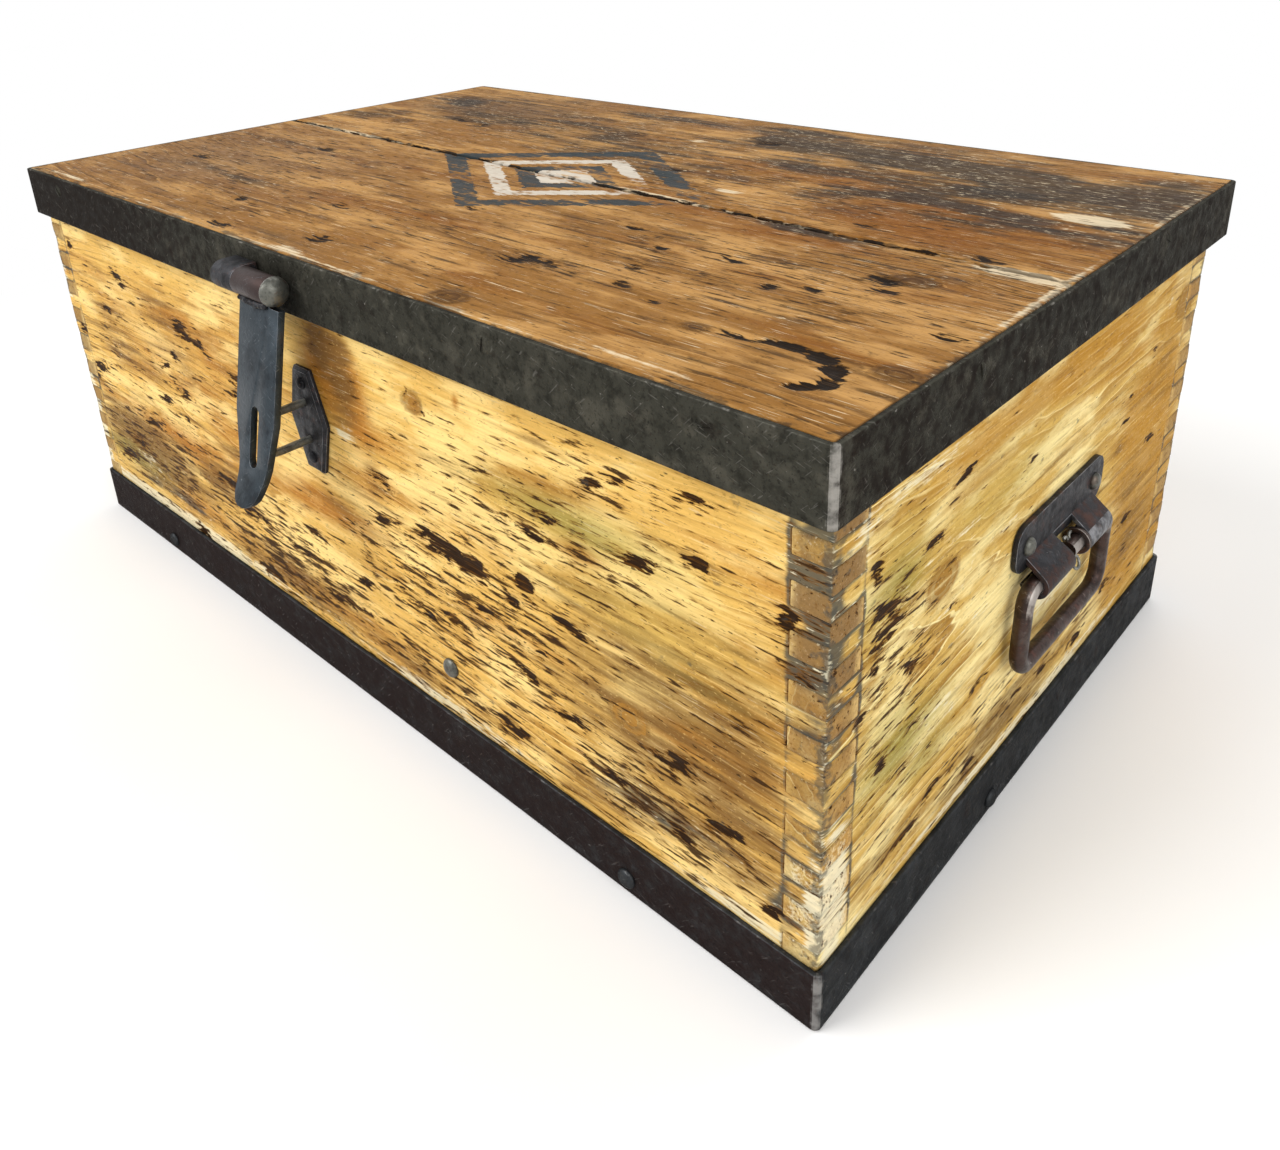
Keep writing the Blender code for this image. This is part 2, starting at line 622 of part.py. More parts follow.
def build_hasp(lid_axis):
    """The hasp's fixed barrel and pin on the lid, and its strap on the same axis, leaning out at rest."""
    half, radius = HASP_WIDTH / 2, HASP_TUBE_RADIUS
    far = -half - FIT - HASP_KNUCKLE_LENGTH
    section = arc((HASP_Y, HASP_Z), radius, 90, 270, FASTENER_SIDES)
    seat = LID_FRONT - FIT
    section += [(seat, HASP_Z - radius), (seat, HASP_Z + radius)]
    barrel = Solid().prism(section, "X", far, -half - FIT, smooth=True)
    knuckle = piece("hasp_knuckle", barrel, "handle_iron", lid_axis)
    bore = Solid().rod(
        HASP_PIN_RADIUS + FIT, (far - OVERCUT, HASP_Y, HASP_Z), (half + OVERCUT, HASP_Y, HASP_Z)
    )
    shape(knuckle, helper("hasp_knuckle_bore", bore, lid_axis))

    seated = half - HASP_PIN_RECESS
    tail, head = far - FIT, seated + FIT
    profile = [(0, tail - HASP_PIN_TAIL_HEIGHT), (HASP_PIN_TAIL_RADIUS * 0.7, tail - HASP_PIN_TAIL_HEIGHT)]
    profile += [(HASP_PIN_TAIL_RADIUS, tail - HASP_PIN_TAIL_HEIGHT / 2), (HASP_PIN_TAIL_RADIUS, tail)]
    profile += [(HASP_PIN_RADIUS, tail), (HASP_PIN_RADIUS, head)]
    for angle in (0, 22, 45, 67):
        a = math.radians(angle)
        profile.append((HASP_PIN_HEAD_RADIUS * math.cos(a), head + HASP_PIN_HEAD_HEIGHT * math.sin(a)))
    profile.append((0, head + HASP_PIN_HEAD_HEIGHT))
    piece("hasp_pin", Solid().turned(profile, (0, HASP_Y, HASP_Z), (1, 0, 0)), "fastener_iron", lid_axis)

    axis = joint_axis("hasp_axis", (0, HASP_Y, HASP_Z), lid_axis)
    barrel = Solid().rod(radius, (-half, 0, 0), (half, 0, 0))
    strap = barrel.made("hasp_strap")
    strap.data.materials.append(finish_material("hasp_steel"))
    slot_round = HASP_SLOT_WIDTH / 2
    straight = SLOT_HALF - slot_round
    slot = arc((0, straight - STAPLE_DROP), slot_round, 0, 180, 8)
    slot += arc((0, -straight - STAPLE_DROP), slot_round, 180, 360, 8)
    through = HASP_THICKNESS / 2 + OVERCUT + HASP_TIP_TURN
    bore = Solid().rod(HASP_PIN_RADIUS + FIT, (-2 * half, 0, 0), (2 * half, 0, 0))
    room = Solid().rod(HASP_PIN_HEAD_RADIUS + HASP_PIN_HEAD_ROOM, (seated, 0, 0), (2 * half, 0, 0))
    tools = (
        (helper("hasp_strap_bar", Solid().loft(strap_loops())), "UNION"),
        (helper("hasp_strap_head_room", room), "DIFFERENCE"),
        (helper("hasp_strap_bore", bore), "DIFFERENCE"),
        (helper("hasp_strap_slot", Solid().prism(slot, "Y", -through, through)), "DIFFERENCE"),
    )
    for tool, operation in tools:
        tool.parent = axis
        shape(strap, tool, operation)
    strap.parent = axis
    axis.rotation_euler.x = -HASP_REST_ANGLE
    bpy.context.view_layer.update()


def hood_section():
    """Section of the handle plate's rolled hood: (out, up) points about the wall and the bail's axis."""
    middle = BAIL_RADIUS + FIT + HANDLE_SHEET / 2
    start = Vector((FIT + HANDLE_SHEET / 2, HOOD_RISE))
    spoke = start - Vector((BAIL_OUT, 0))
    touch = math.degrees(math.atan2(spoke.y, spoke.x) - math.acos(middle / spoke.length))
    run = [tuple(start)] + arc((BAIL_OUT, 0), middle, touch, HOOD_WRAP, ROUND_SIDES)
    outer, inner = [], []
    for i, point in enumerate(run):
        ahead = Vector(run[min(i + 1, len(run) - 1)]) - Vector(point)
        behind = Vector(point) - Vector(run[max(i - 1, 0)])
        along = (ahead.normalized() + behind.normalized()).normalized()
        side = Vector((-along.y, along.x)) * HANDLE_SHEET / 2
        outer.append(tuple(Vector(point) + side))
        inner.append(tuple(Vector(point) - side))
    return outer + inner[::-1]


def plate_outline():
    """Outline of the handle's plate: (along the end, up) points about the bail's middle."""
    half, corner = HANDLE_PLATE_LENGTH / 2, HANDLE_PLATE_CORNER
    top = HANDLE_PLATE_RISE - corner
    along, foot = half - corner, HANDLE_PLATE_RISE - HANDLE_PLATE_WIDTH + corner
    outline = arc((along, foot), corner, -90, 0, 5) + arc((along, top), corner, 0, 90, 5)
    return outline + arc((-along, top), corner, 90, 180, 5) + arc((-along, foot), corner, 180, 270, 5)


def notch_outline(left, right, low, high, top):
    """The notch's outline up to a level: its left side leans, so that the hood is longer at its foot."""
    lean = NOTCH_SLANT * (high - top) / (high - low)
    return [(left + NOTCH_SLANT, low), (right, low), (right, top), (left + lean, top)]


def split_pin_path():
    """Centre line of the folded wire, leg to leg: (along the bail's axis, away from it) points."""
    side = SPLIT_WIRE + SPLIT_GAP / 2
    under, over = -BAIL_RADIUS - 2 * SPLIT_WIRE, BAIL_RADIUS + SPLIT_WIRE
    neck = math.degrees(math.asin(side / SPLIT_LOOP))
    rise = over + SPLIT_LOOP * math.cos(math.radians(neck))
    leg = rounded_path([(side + SPLIT_SPLAY, under), (side, under), (side, over)], 2 * SPLIT_WIRE)
    loop = arc((0, rise), SPLIT_LOOP, -90 + neck, 270 - neck, 16)
    return leg[:-1] + loop + [(-a, h) for a, h in reversed(leg[:-1])]


def build_handle(name, side, end_board):
    """One end's lifting handle: riveted plate with a rolled hood, the bail, its washer and split pin."""
    wall, across, up = side * BOX_X, HANDLE_SHIFT, HANDLE_HEIGHT
    outline = [(across + y, up + z) for y, z in plate_outline()]
    sheet = (wall + side * FIT, wall + side * (FIT + HANDLE_SHEET))
    plate = piece(f"{name}_handle_plate", Solid().prism(outline, "X", *sheet), "handle_iron")
    hood_half = BAIL_TOP_SPACING / 2 - BAIL_SHOULDER - BAIL_PLAY
    hood = [(wall + side * out, up + z) for out, z in hood_section()]
    ends = [[(x, across + y, z) for x, z in hood] for y in (-hood_half, hood_half)]
    roll = Solid().loft(ends, smooth=True)
    shape(plate, helper(f"{name}_handle_hood", roll), "UNION")
    notch = (hood_half - NOTCH_FROM_END - NOTCH_LENGTH, hood_half - NOTCH_FROM_END)
    deep = BAIL_OUT + BAIL_RADIUS + HANDLE_SHEET + OVERCUT
    low, high = sorted((sheet[1] + side * FIT, wall + side * deep))
    reach = (across + notch[0], across + notch[1], up - deep, up + HOOD_RISE + OVERCUT)
    cut = Solid().prism(notch_outline(*reach, reach[3]), "X", low, high)
    shape(plate, helper(f"{name}_handle_notch", cut))
    low, high = sorted((wall + side * FIT / 2, wall + side * deep))
    foot = up + HANDLE_PLATE_RISE - HANDLE_PLATE_WIDTH - FIT
    cut = Solid().prism(notch_outline(*reach, foot), "X", low, high)
    shape(plate, helper(f"{name}_handle_lower_notch", cut))
    seats = [(sheet[1], across + s * HANDLE_RIVET_SPACING / 2, up + RIVET_RISE) for s in (-1, 1)]
    rivets = Fasteners(domed(RIVET_RADIUS, RIVET_HEIGHT), seats, (side, 0, 0))
    rivets.make(f"{name}_handle_rivet")
    rivets.drill(f"{name}_handle_rivet", [plate, end_board])

    rod_x = wall + side * BAIL_OUT
    axis = joint_axis(f"{name}_bail_axis", (rod_x, across, up))
    top, wide = BAIL_TOP_SPACING / 2, BAIL_FOOT_SPACING / 2
    inner = [(notch[0] - BAIL_SET_BACK, 0), (notch[1] - BAIL_STUB, 0)]
    shoulders = rounded_path([inner[0], (-top, 0), (-wide, -BAIL_DROP)], BAIL_SHOULDER)
    bends = rounded_path([(-top, 0), (-wide, -BAIL_DROP), (wide, -BAIL_DROP), (top, 0)], BAIL_BEND)
    far = rounded_path([(wide, -BAIL_DROP), (top, 0), inner[1]], BAIL_SHOULDER)
    path = [(rod_x, across + y, up + z) for y, z in shoulders[:-1] + bends[1:-1] + far[1:]]
    bail = piece(f"{name}_bail", Solid().tube(path, BAIL_RADIUS, (1, 0, 0), 16), "handle_iron", axis)

    bore, rim = BAIL_RADIUS + FIT, BAIL_OUT - BAIL_PLAY
    seat = across + notch[1] - BAIL_PLAY - WASHER_THICKNESS
    ring = Solid().rod(rim, (rod_x, seat, up), (rod_x, seat + WASHER_THICKNESS, up))
    washer = piece(f"{name}_handle_washer", ring, "handle_iron", axis)
    reach = (seat - OVERCUT, seat + WASHER_THICKNESS + OVERCUT)
    hole = Solid().rod(bore, (rod_x, reach[0], up), (rod_x, reach[1], up))
    shape(washer, helper(f"{name}_handle_washer_bore", hole, axis))

    pin_y = seat - SPLIT_FROM_WASHER
    away = Vector((side * math.cos(SPLIT_LEAN), 0, math.sin(SPLIT_LEAN)))
    along = Vector((0, 1, 0))
    centre = Vector((rod_x, pin_y, up))
    wire = [centre + along * a + away * h for a, h in split_pin_path()]
    pin = Solid().tube(wire, SPLIT_WIRE, along.cross(away), 8)
    piece(f"{name}_handle_split_pin", pin, "fastener_iron", axis)
    hole_radius = 2 * SPLIT_WIRE + SPLIT_GAP / 2 + FIT
    through = away * 2 * BAIL_RADIUS
    hole = Solid().rod(hole_radius, centre - through, centre + through, FASTENER_SIDES)
    shape(bail, helper(f"{name}_handle_split_hole", hole, axis))


def main():
    """Build the chest."""
    clear_scene()
    boards = build_boards()
    build_bottom()
    build_staple(boards["front"])
    lid_axis = joint_axis("lid_axis", (0, HINGE_Y, HINGE_Z))
    back_plank = build_lid(lid_axis)
    for name, side in (("left", -1), ("right", 1)):
        build_hinge(name, side * HINGE_SPREAD / 2, lid_axis, boards["back"], back_plank)
        build_handle(name, side, boards[name])
    build_hasp(lid_axis)


main()
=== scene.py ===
"""Looks of the plank chest: aged pine boards, flat iron strips, a hasp and two lifting handles.

Metres, +Z up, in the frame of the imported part. X runs along the front, Y from the front to the back.
Lists of marks, knots and stains are in millimetres on the face that they lie on.
"""

import sys

import logging
import math
from collections.abc import Callable, Sequence
from dataclasses import dataclass
from enum import Enum

import bmesh
import bpy
import numpy as np
from mathutils import Matrix, Vector


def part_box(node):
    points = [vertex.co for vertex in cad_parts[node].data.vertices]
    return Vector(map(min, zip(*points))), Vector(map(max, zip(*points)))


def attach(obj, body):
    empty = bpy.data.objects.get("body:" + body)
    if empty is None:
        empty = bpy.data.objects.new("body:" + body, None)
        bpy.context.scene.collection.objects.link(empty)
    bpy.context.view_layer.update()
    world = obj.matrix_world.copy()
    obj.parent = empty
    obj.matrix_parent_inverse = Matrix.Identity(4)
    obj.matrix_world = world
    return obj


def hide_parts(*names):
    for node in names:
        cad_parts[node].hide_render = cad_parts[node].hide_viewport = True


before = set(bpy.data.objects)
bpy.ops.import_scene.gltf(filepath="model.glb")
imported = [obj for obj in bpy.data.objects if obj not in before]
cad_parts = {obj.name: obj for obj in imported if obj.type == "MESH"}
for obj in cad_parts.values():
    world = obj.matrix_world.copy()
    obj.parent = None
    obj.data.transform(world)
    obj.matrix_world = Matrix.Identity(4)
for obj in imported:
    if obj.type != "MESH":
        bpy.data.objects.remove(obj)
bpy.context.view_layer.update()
LOG = logging.getLogger("plank_chest")
MM = 0.001
IMAGE_SIZE = (1280, 1150)
WHITE = (1.0, 1.0, 1.0, 1.0)
# Points this close are merged
WELD = 2e-6
# Faces that meet at less than this are joined, and edges at more than this are shaded sharp, in degrees
FLAT = 1.5
SHARP = 38
# Faces across a rounded edge
BEVEL_STEPS = 2

# A mark or patch: place along and across, half length and half height, and its turn or its strength
Spot = tuple[float, float, float, float, float]
Spots = Sequence[Spot]
# What writes a node into a tree, and nodes and sockets by name
Add = Callable[..., object]
Values = dict[str, object]
Three = tuple[np.ndarray, np.ndarray, np.ndarray]
# Gives a value for each face from its middle and its normal
Rule = Callable[[np.ndarray, np.ndarray], np.ndarray]


class Body(Enum):
    """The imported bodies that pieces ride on."""

    BOX = "box"
    LID = "lid"
    HASP = "hasp"
    RIGHT_BAIL = "right_bail"
    LEFT_BAIL = "left_bail"


class Slot(Enum):
    """The record's material slots."""

    BODY_PINE = "body_pine"
    LID_PINE = "lid_pine"
    BARE_PINE = "bare_pine"
    STRIP_IRON = "strip_iron"
    HASP_STEEL = "hasp_steel"
    HANDLE_IRON = "handle_iron"
    FASTENER_IRON = "fastener_iron"


class Grain(Enum):
    """Which way a board's fibres run."""

    ALONG_X = 0
    ALONG_Y = 1


class Face(Enum):
    """The side that a board or a head looks to: axis and sign."""

    FRONT = (1, -1)
    BACK = (1, 1)
    LEFT = (0, -1)
    RIGHT = (0, 1)
    TOP = (2, 1)
    UNDER = (2, -1)


class HeadKind(Enum):
    """Shapes of fastener heads."""

    SLOTTED = "slotted"
    DOMED = "domed"


def linear(code: str) -> tuple[float, float, float, float]:
    """Turn an sRGB hex colour to linear RGBA.

    Args:
        code: colour such as "#a0b0c0".

    Returns:
        Linear red, green, blue and an alpha of one.
    """
    parts = [int(code[i : i + 2], 16) / 255 for i in (1, 3, 5)]
    red, green, blue = [p / 12.92 if p <= 0.04045 else ((p + 0.055) / 1.055) ** 2.4 for p in parts]
    return red, green, blue, 1.0


class Web:
    """A node tree being written."""

    def __init__(self, tree: bpy.types.NodeTree) -> None:
        """Keep the shader or geometry tree."""
        self.tree = tree

    @classmethod
    def shading(cls, owner: bpy.types.Material | bpy.types.World) -> "Web":
        """Empty the shader tree of a material or world and open it.

        Args:
            owner: whose tree.

        Returns:
            The tree, ready for nodes.
        """
        owner.use_nodes = True
        owner.node_tree.nodes.clear()
        return cls(owner.node_tree)

    def add(
        self, kind: str, feeds: dict | None = None, ramp: list | None = None, **settings: object
    ) -> object:
        """Add one node with its settings and links.

        Args:
            kind: the node's type name.
            feeds: input name or number to a value, a socket, or a node whose first live output is meant.
            ramp: colour stops of a ramp, as (place, hex colour).
            settings: properties of the node.

        Returns:
            The node.
        """
        node = self.tree.nodes.new(kind)
        for name, value in settings.items():
            setattr(node, name, value)
        if ramp:
            stops = node.color_ramp.elements
            while len(stops) < len(ramp):
                stops.new(1.0)
            for stop, (place, code) in zip(stops, ramp):
                stop.position, stop.color = place, linear(code)
        for key, value in (feeds or {}).items():
            if isinstance(key, int):
                socket = node.inputs[key]
            else:
                socket = next(s for s in node.inputs if s.name == key and s.enabled)
            if isinstance(value, bpy.types.Node):
                value = next(s for s in value.outputs if s.enabled)
            if isinstance(value, bpy.types.NodeSocket):
                self.tree.links.new(value, socket)
            else:
                socket.default_value = value
        return node


class Coated:
    """What finishes share: sums of patterns and masks, and coats of colour laid by them.

    SUMS gives a name a first value, and pairs of a value and how much of it is added.
    COATS gives a colour's field, and the factors of its share.
    A factor is a value's name, or a soft step: a value, where it begins and ends, and how high it rises.
    A word in place of an amount or a height is a field of the finish.
    RELIEF gives the bump's strength and depth, and SPREAD the range of a pattern over which roughness runs.
    """

    SUMS, COATS = {}, []
    RELIEF, SPREAD, rough = (0.0, 0.0), (0.0, 1.0), (0.5, 0.5)

    def amount(self, number: float | str) -> float:
        """A table's number, or the field that it names."""
        return getattr(self, number) if isinstance(number, str) else number

    def sum_up(self, add: Add, value: Values) -> None:
        """Work out the sums.

        Args:
            add: writes a node into the finish's tree.
            value: nodes and sockets by name, which grows.
        """
        for name, (first, *others) in self.SUMS.items():
            total = value.get(first, first)
            for key, share in others:
                feeds = {0: value[key], 1: self.amount(share), 2: total}
                total = add("ShaderNodeMath", feeds, operation="MULTIPLY_ADD")
            value[name] = total

    def share(self, add: Add, value: Values, *factors: str | tuple) -> object:
        """Multiply factors.

        Args:
            add: writes a node into the finish's tree.
            value: nodes and sockets by name.
            factors: names of values, and soft steps.

        Returns:
            Their product.
        """
        total = 1.0
        for factor in factors:
            if isinstance(factor, str):
                part = value[factor]
            else:
                key, low, high, most = factor
                feeds = {"Value": value[key], "From Min": low, "From Max": high, "To Max": self.amount(most)}
                part = add("ShaderNodeMapRange", feeds, interpolation_type="SMOOTHSTEP")
            total = add("ShaderNodeMath", {0: part, 1: total}, operation="MULTIPLY")
        return total

    def coat(self, add: Add, value: Values, colour: object) -> object:
        """Lay the coats over a colour.

        Args:
            add: writes a node into the finish's tree.
            value: nodes and sockets by name.
            colour: what lies under them.

        Returns:
            The colour on top.
        """
        for paint, *factors in self.COATS:
            share = self.share(add, value, *factors)
            feeds = {"Factor": share, "A": colour, "B": linear(getattr(self, paint))}
            colour = add("ShaderNodeMix", feeds, data_type="RGBA")
        return colour

    def close(self, add: Add, feeds: Values, height: object, sheen: object) -> None:
        """Add relief, roughness and the output.

        Args:
            add: writes a node into the finish's tree.
            feeds: the shader's other inputs.
            height: gives the relief.
            sheen: pattern that gives the roughness.
        """
        strength, depth = self.RELIEF
        bump = add("ShaderNodeBump", {"Height": height, "Strength": strength, "Distance": depth})
        limits = zip(("From Min", "From Max", "To Min", "To Max"), (*self.SPREAD, *self.rough))
        dull = add("ShaderNodeMapRange", {"Value": sheen, **dict(limits)})
        shader = add("ShaderNodeBsdfPrincipled", feeds | {"Roughness": dull, "Normal": bump})
        add("ShaderNodeOutputMaterial", {"Surface": shader})


@dataclass(frozen=True)
class Pine(Coated):
    """Sawn pine, varnished or bare and long used: ring bands, fibres, gouges, stains and worn edges."""

    name: str
    grain: Grain
    early: str
    late: str
    light: str
    amber: str
    brown: str
    pit: str
    halo: str
    green: str
    pale: str
    end: str
    raw: str
    grime: str
    gouges: float = 1.0
    streaks: float = 0.7
    rings: float = 0.9
    broad: float = 0.6
    fibres: float = 0.35
    scuffs: float = 0.25
    rough: tuple[float, float] = (0.5, 0.72)
    gloss: float = 0.07
    paint: tuple[str, str] | None = None

    # Along the grain and across it in mm, and detail
    # The fibres are drawn coarser than real ones so that they show
    PATTERNS = {
        "tone": (210, 36, 4.0),
        "drift": (340, 95, 2.0),
        "wobble": (120, 16, 2.0),
        "fibre": (60, 1.7, 4.0),
        "streak": (85, 6, 5.0),
        "light": (75, 20, 6.0),
        "gouge": (20, 2.5, 5.0),
        "nick": (7, 1.6, 3.0),
        "ragged": (12, 3.4, 6.0),
        "split": (20, 1.5, 3.0),
        "rubbing": (9, 5, 4.0),
        "cloud": (75, 42, 4.0),
        "scuff": (22, 0.9, 2.0),
        "grit": (2.8, 1.5, 4.0),
    }
    # How far each pattern is moved from the one before it, and their noise's roughness
    APART = (3.7, 1.9, 5.3)
    NOISE_ROUGHNESS = 0.56
    # How far the rings waver, and where in a ring late wood begins, ends and has given way
    WOBBLE = 1.8
    LATE_STARTS = (0.84, 0.91, 0.95)
    # Noise swings about a half, so a painted mask joins it by a sum and a step, which leaves a ragged rim
    SUMS = {
        "stained": ("stain", ("streak", 1.4), ("cloud", 0.8)),
        "ambered": ("amber", ("tone", 1.0), ("cloud", 0.6)),
        "darkened": ("dark", ("cloud", 1.6), ("streak", 0.8)),
        "crowded": ("gouge", ("fleck", 0.15)),
        "nicked": ("nick", ("fleck", 0.10)),
        "marked": ("mark", ("ragged", 2.2), ("split", 1.2)),
        "rubbed": ("wear", ("rubbing", 2.2)),
        "frayed": ("wear", ("fibre", 2.2)),
        "bleached": ("pale", ("fibre", 1.2), ("rubbing", 0.8)),
        "long_grain": (1.0, ("end", -0.85)),
        "outside": (1.0, ("inside", -1.0)),
        "much": (0.0, ("outside", "gouges")),
        "knot_tint": (0.0, ("knot", 0.55)),
        "cut_end": (0.0, ("end", 0.8)),
    }
    # Steps that are used by themselves: the rings' share, floors of gouges and marks, and the fibres' crests
    RING_SHARE = ("drift", 0.38, 0.62, "rings")
    GOUGE_CORE = ("crowded", 0.68, 0.71, 0.85)
    MARK_CORE = ("marked", 2.3, 2.36, 1.0)
    CRESTS = ("fibre", 0.3, 0.66, 1.0)
    COATS = [
        ("amber", ("tone", 0.5, 0.72, 0.7)),
        ("light", ("light", 0.44, 0.62, 0.85)),
        ("brown", ("streak", 0.56, 0.74, "streaks")),
        ("amber", ("ambered", 1.05, 1.75, 0.85)),
        ("brown", ("stained", 1.35, 2.0, 0.92)),
        ("green", "green", ("tone", 0.3, 0.6, 0.85)),
        ("brown", "knot_tint"),
        ("late", "knot", ("turn", 0.0, 0.9, 0.9)),
        ("light", ("fibre", 0.6, 0.74, 0.35)),
        ("halo", ("fibre", 0.36, 0.28, 0.4)),
        ("halo", ("grit", 0.58, 0.72, 0.4)),
        ("light", ("grit", 0.42, 0.3, 0.3)),
        ("grime", ("darkened", 1.5, 2.0, 0.88)),
        ("pale", ("nick", 0.38, 0.3, 0.8), ("darkened", 1.35, 1.7, 1.0)),
        ("end", "cut_end"),
        ("pale", "long_grain", ("bleached", 1.45, 1.75, 0.8)),
        ("pale", "long_grain", ("scuff", 0.65, 0.71, "scuffs")),
        ("raw", "inside", ("light", 0.2, 0.55, 0.9)),
        ("halo", ("crowded", 0.6, 0.7, 0.8), "much"),
        ("pit", GOUGE_CORE, "much"),
        ("pit", ("nicked", 0.69, 0.72, 0.8), "much"),
        ("halo", ("marked", 2.1, 2.34, 0.85)),
        ("pit", MARK_CORE),
        ("halo", MARK_CORE, ("fibre", 0.52, 0.66, 0.5)),
        ("grime", ("rubbed", 1.35, 1.75, 0.65)),
        ("pale", "long_grain", ("frayed", 1.8, 2.05, 0.5)),
    ]
    # How far gouges and late wood rise against the fibres, and the varnish's refraction
    DEPTHS, IOR = (-1.3, -0.25), 1.5
    RELIEF, SPREAD = (0.6, 0.8 * MM), (0.3, 0.7)
    # Shade of the fibres' hollows and crests
    THREAD = [(0.0, "#c2bab0"), (1.0, "#ffffff")]
    # The lozenge's middle and half size in mm, where its colours change, and where paint is kept or lost
    LOZENGE_AT, LOZENGE_HALF = (5.0, 0.5), (150.0, 108.0)
    BAND_STARTS = (0.0, 0.27, 0.52, 0.8)
    PAINT_STARTS = (0.0, 0.42, 0.52, 0.66, 0.8, 0.98)
    # How ragged its rims are, and what thins the paint
    RAGGED = 0.1
    THINNED_BY = (("rubbing", 0.6), ("fibre", 0.35))
    PAINT_LEFT = {"From Min": 0.98, "From Max": 1.1, "To Min": 0.94, "To Max": 0.0}

    def material(self) -> bpy.types.Material:
        """Write the finish's shader.

        Returns:
            The material.
        """
        made = bpy.data.materials.new(self.name)
        add = Web.shading(made).add
        coords = add("ShaderNodeTexCoord").outputs["Object"]
        value: Values = {}
        for i, (key, (along, across, detail)) in enumerate(self.PATTERNS.items()):
            scale = [1 / (across * MM)] * 3
            scale[self.grain.value] = 1 / (along * MM)
            place = {"Vector": coords, "Scale": scale, "Location": [step * i for step in self.APART]}
            moved = add("ShaderNodeMapping", place)
            feeds = {"Vector": moved, "Scale": 1.0, "Detail": detail, "Roughness": self.NOISE_ROUGHNESS}
            value[key] = add("ShaderNodeTexNoise", feeds)
        for name, keys in Board.ATTRIBUTES.items():
            vector = add("ShaderNodeAttribute", attribute_name=name).outputs["Vector"]
            value.update(zip(keys, add("ShaderNodeSeparateXYZ", {0: vector}).outputs))
        feeds = {0: value["wobble"], 1: self.WOBBLE, 2: value["ring"]}
        bent = add("ShaderNodeMath", feeds, operation="MULTIPLY_ADD")
        value["turn"] = add("ShaderNodeMath", {0: bent}, operation="FRACT")
        self.sum_up(add, value)

        colours = (self.early, self.early, self.late, self.late, self.light)
        stops = list(zip((0.0, self.broad, *self.LATE_STARTS), colours))
        bands = add("ShaderNodeValToRGB", {"Fac": value["turn"]}, ramp=stops)
        feeds = {"Factor": self.share(add, value, self.RING_SHARE), "A": linear(self.early), "B": bands}
        colour = self.coat(add, value, add("ShaderNodeMix", feeds, data_type="RGBA"))
        if self.paint:
            colour = self.painted(add, coords, colour, value)
        thread = add("ShaderNodeValToRGB", {"Fac": self.share(add, value, self.CRESTS)}, ramp=self.THREAD)
        feeds = {"Factor": self.fibres, "A": colour, "B": thread}
        colour = add("ShaderNodeMix", feeds, data_type="RGBA", blend_type="MULTIPLY")

        floors = [self.share(add, value, self.GOUGE_CORE, "much"), self.share(add, value, self.MARK_CORE)]
        dug = add("ShaderNodeMath", dict(enumerate(floors)), operation="MAXIMUM")
        height = value["fibre"]
        for part, share in zip((dug, value["turn"]), self.DEPTHS):
            height = add("ShaderNodeMath", {0: part, 1: share, 2: height}, operation="MULTIPLY_ADD")
        feeds = {"Base Color": colour, "IOR": self.IOR, "Specular IOR Level": self.gloss}
        self.close(add, feeds, height, value["rubbing"])
        return made

    def painted(self, add: Add, coords: object, under: object, value: Values) -> object:
        """Lay a worn two-colour lozenge over the wood.

        Args:
            add: writes a node into the material's tree.
            coords: object coordinates.
            under: the wood's colour.
            value: the wood's nodes and sockets by name.

        Returns:
            The colour with paint on it.
        """
        total = 0.0
        axes = add("ShaderNodeSeparateXYZ", {0: coords}).outputs
        for axis, middle, half in zip(axes, self.LOZENGE_AT, self.LOZENGE_HALF):
            away = add("ShaderNodeMath", {0: axis, 1: middle * MM}, operation="SUBTRACT")
            away = add("ShaderNodeMath", {0: away}, operation="ABSOLUTE")
            total = add("ShaderNodeMath", {0: away, 1: 1 / (half * MM), 2: total}, operation="MULTIPLY_ADD")
        feeds = {0: value["ragged"], 1: self.RAGGED, 2: total}
        total = add("ShaderNodeMath", feeds, operation="MULTIPLY_ADD")
        ramps = []
        for starts, pair in ((self.BAND_STARTS, self.paint), (self.PAINT_STARTS, ("#ffffff", "#000000"))):
            stops = [(start, pair[i % 2]) for i, start in enumerate(starts)]
            ramps.append(add("ShaderNodeValToRGB", {"Fac": total}, ramp=stops))
            ramps[-1].color_ramp.interpolation = "CONSTANT"
        bands, share = ramps
        thin = value["tone"]
        for key, part in self.THINNED_BY:
            thin = add("ShaderNodeMath", {0: value[key], 1: part, 2: thin}, operation="MULTIPLY_ADD")
        left = add("ShaderNodeMapRange", {"Value": thin, **self.PAINT_LEFT})
        for other in (left, value["outside"]):
            share = add("ShaderNodeMath", {0: share, 1: other}, operation="MULTIPLY")
        return add("ShaderNodeMix", {"Factor": share, "A": under, "B": bands}, data_type="RGBA")


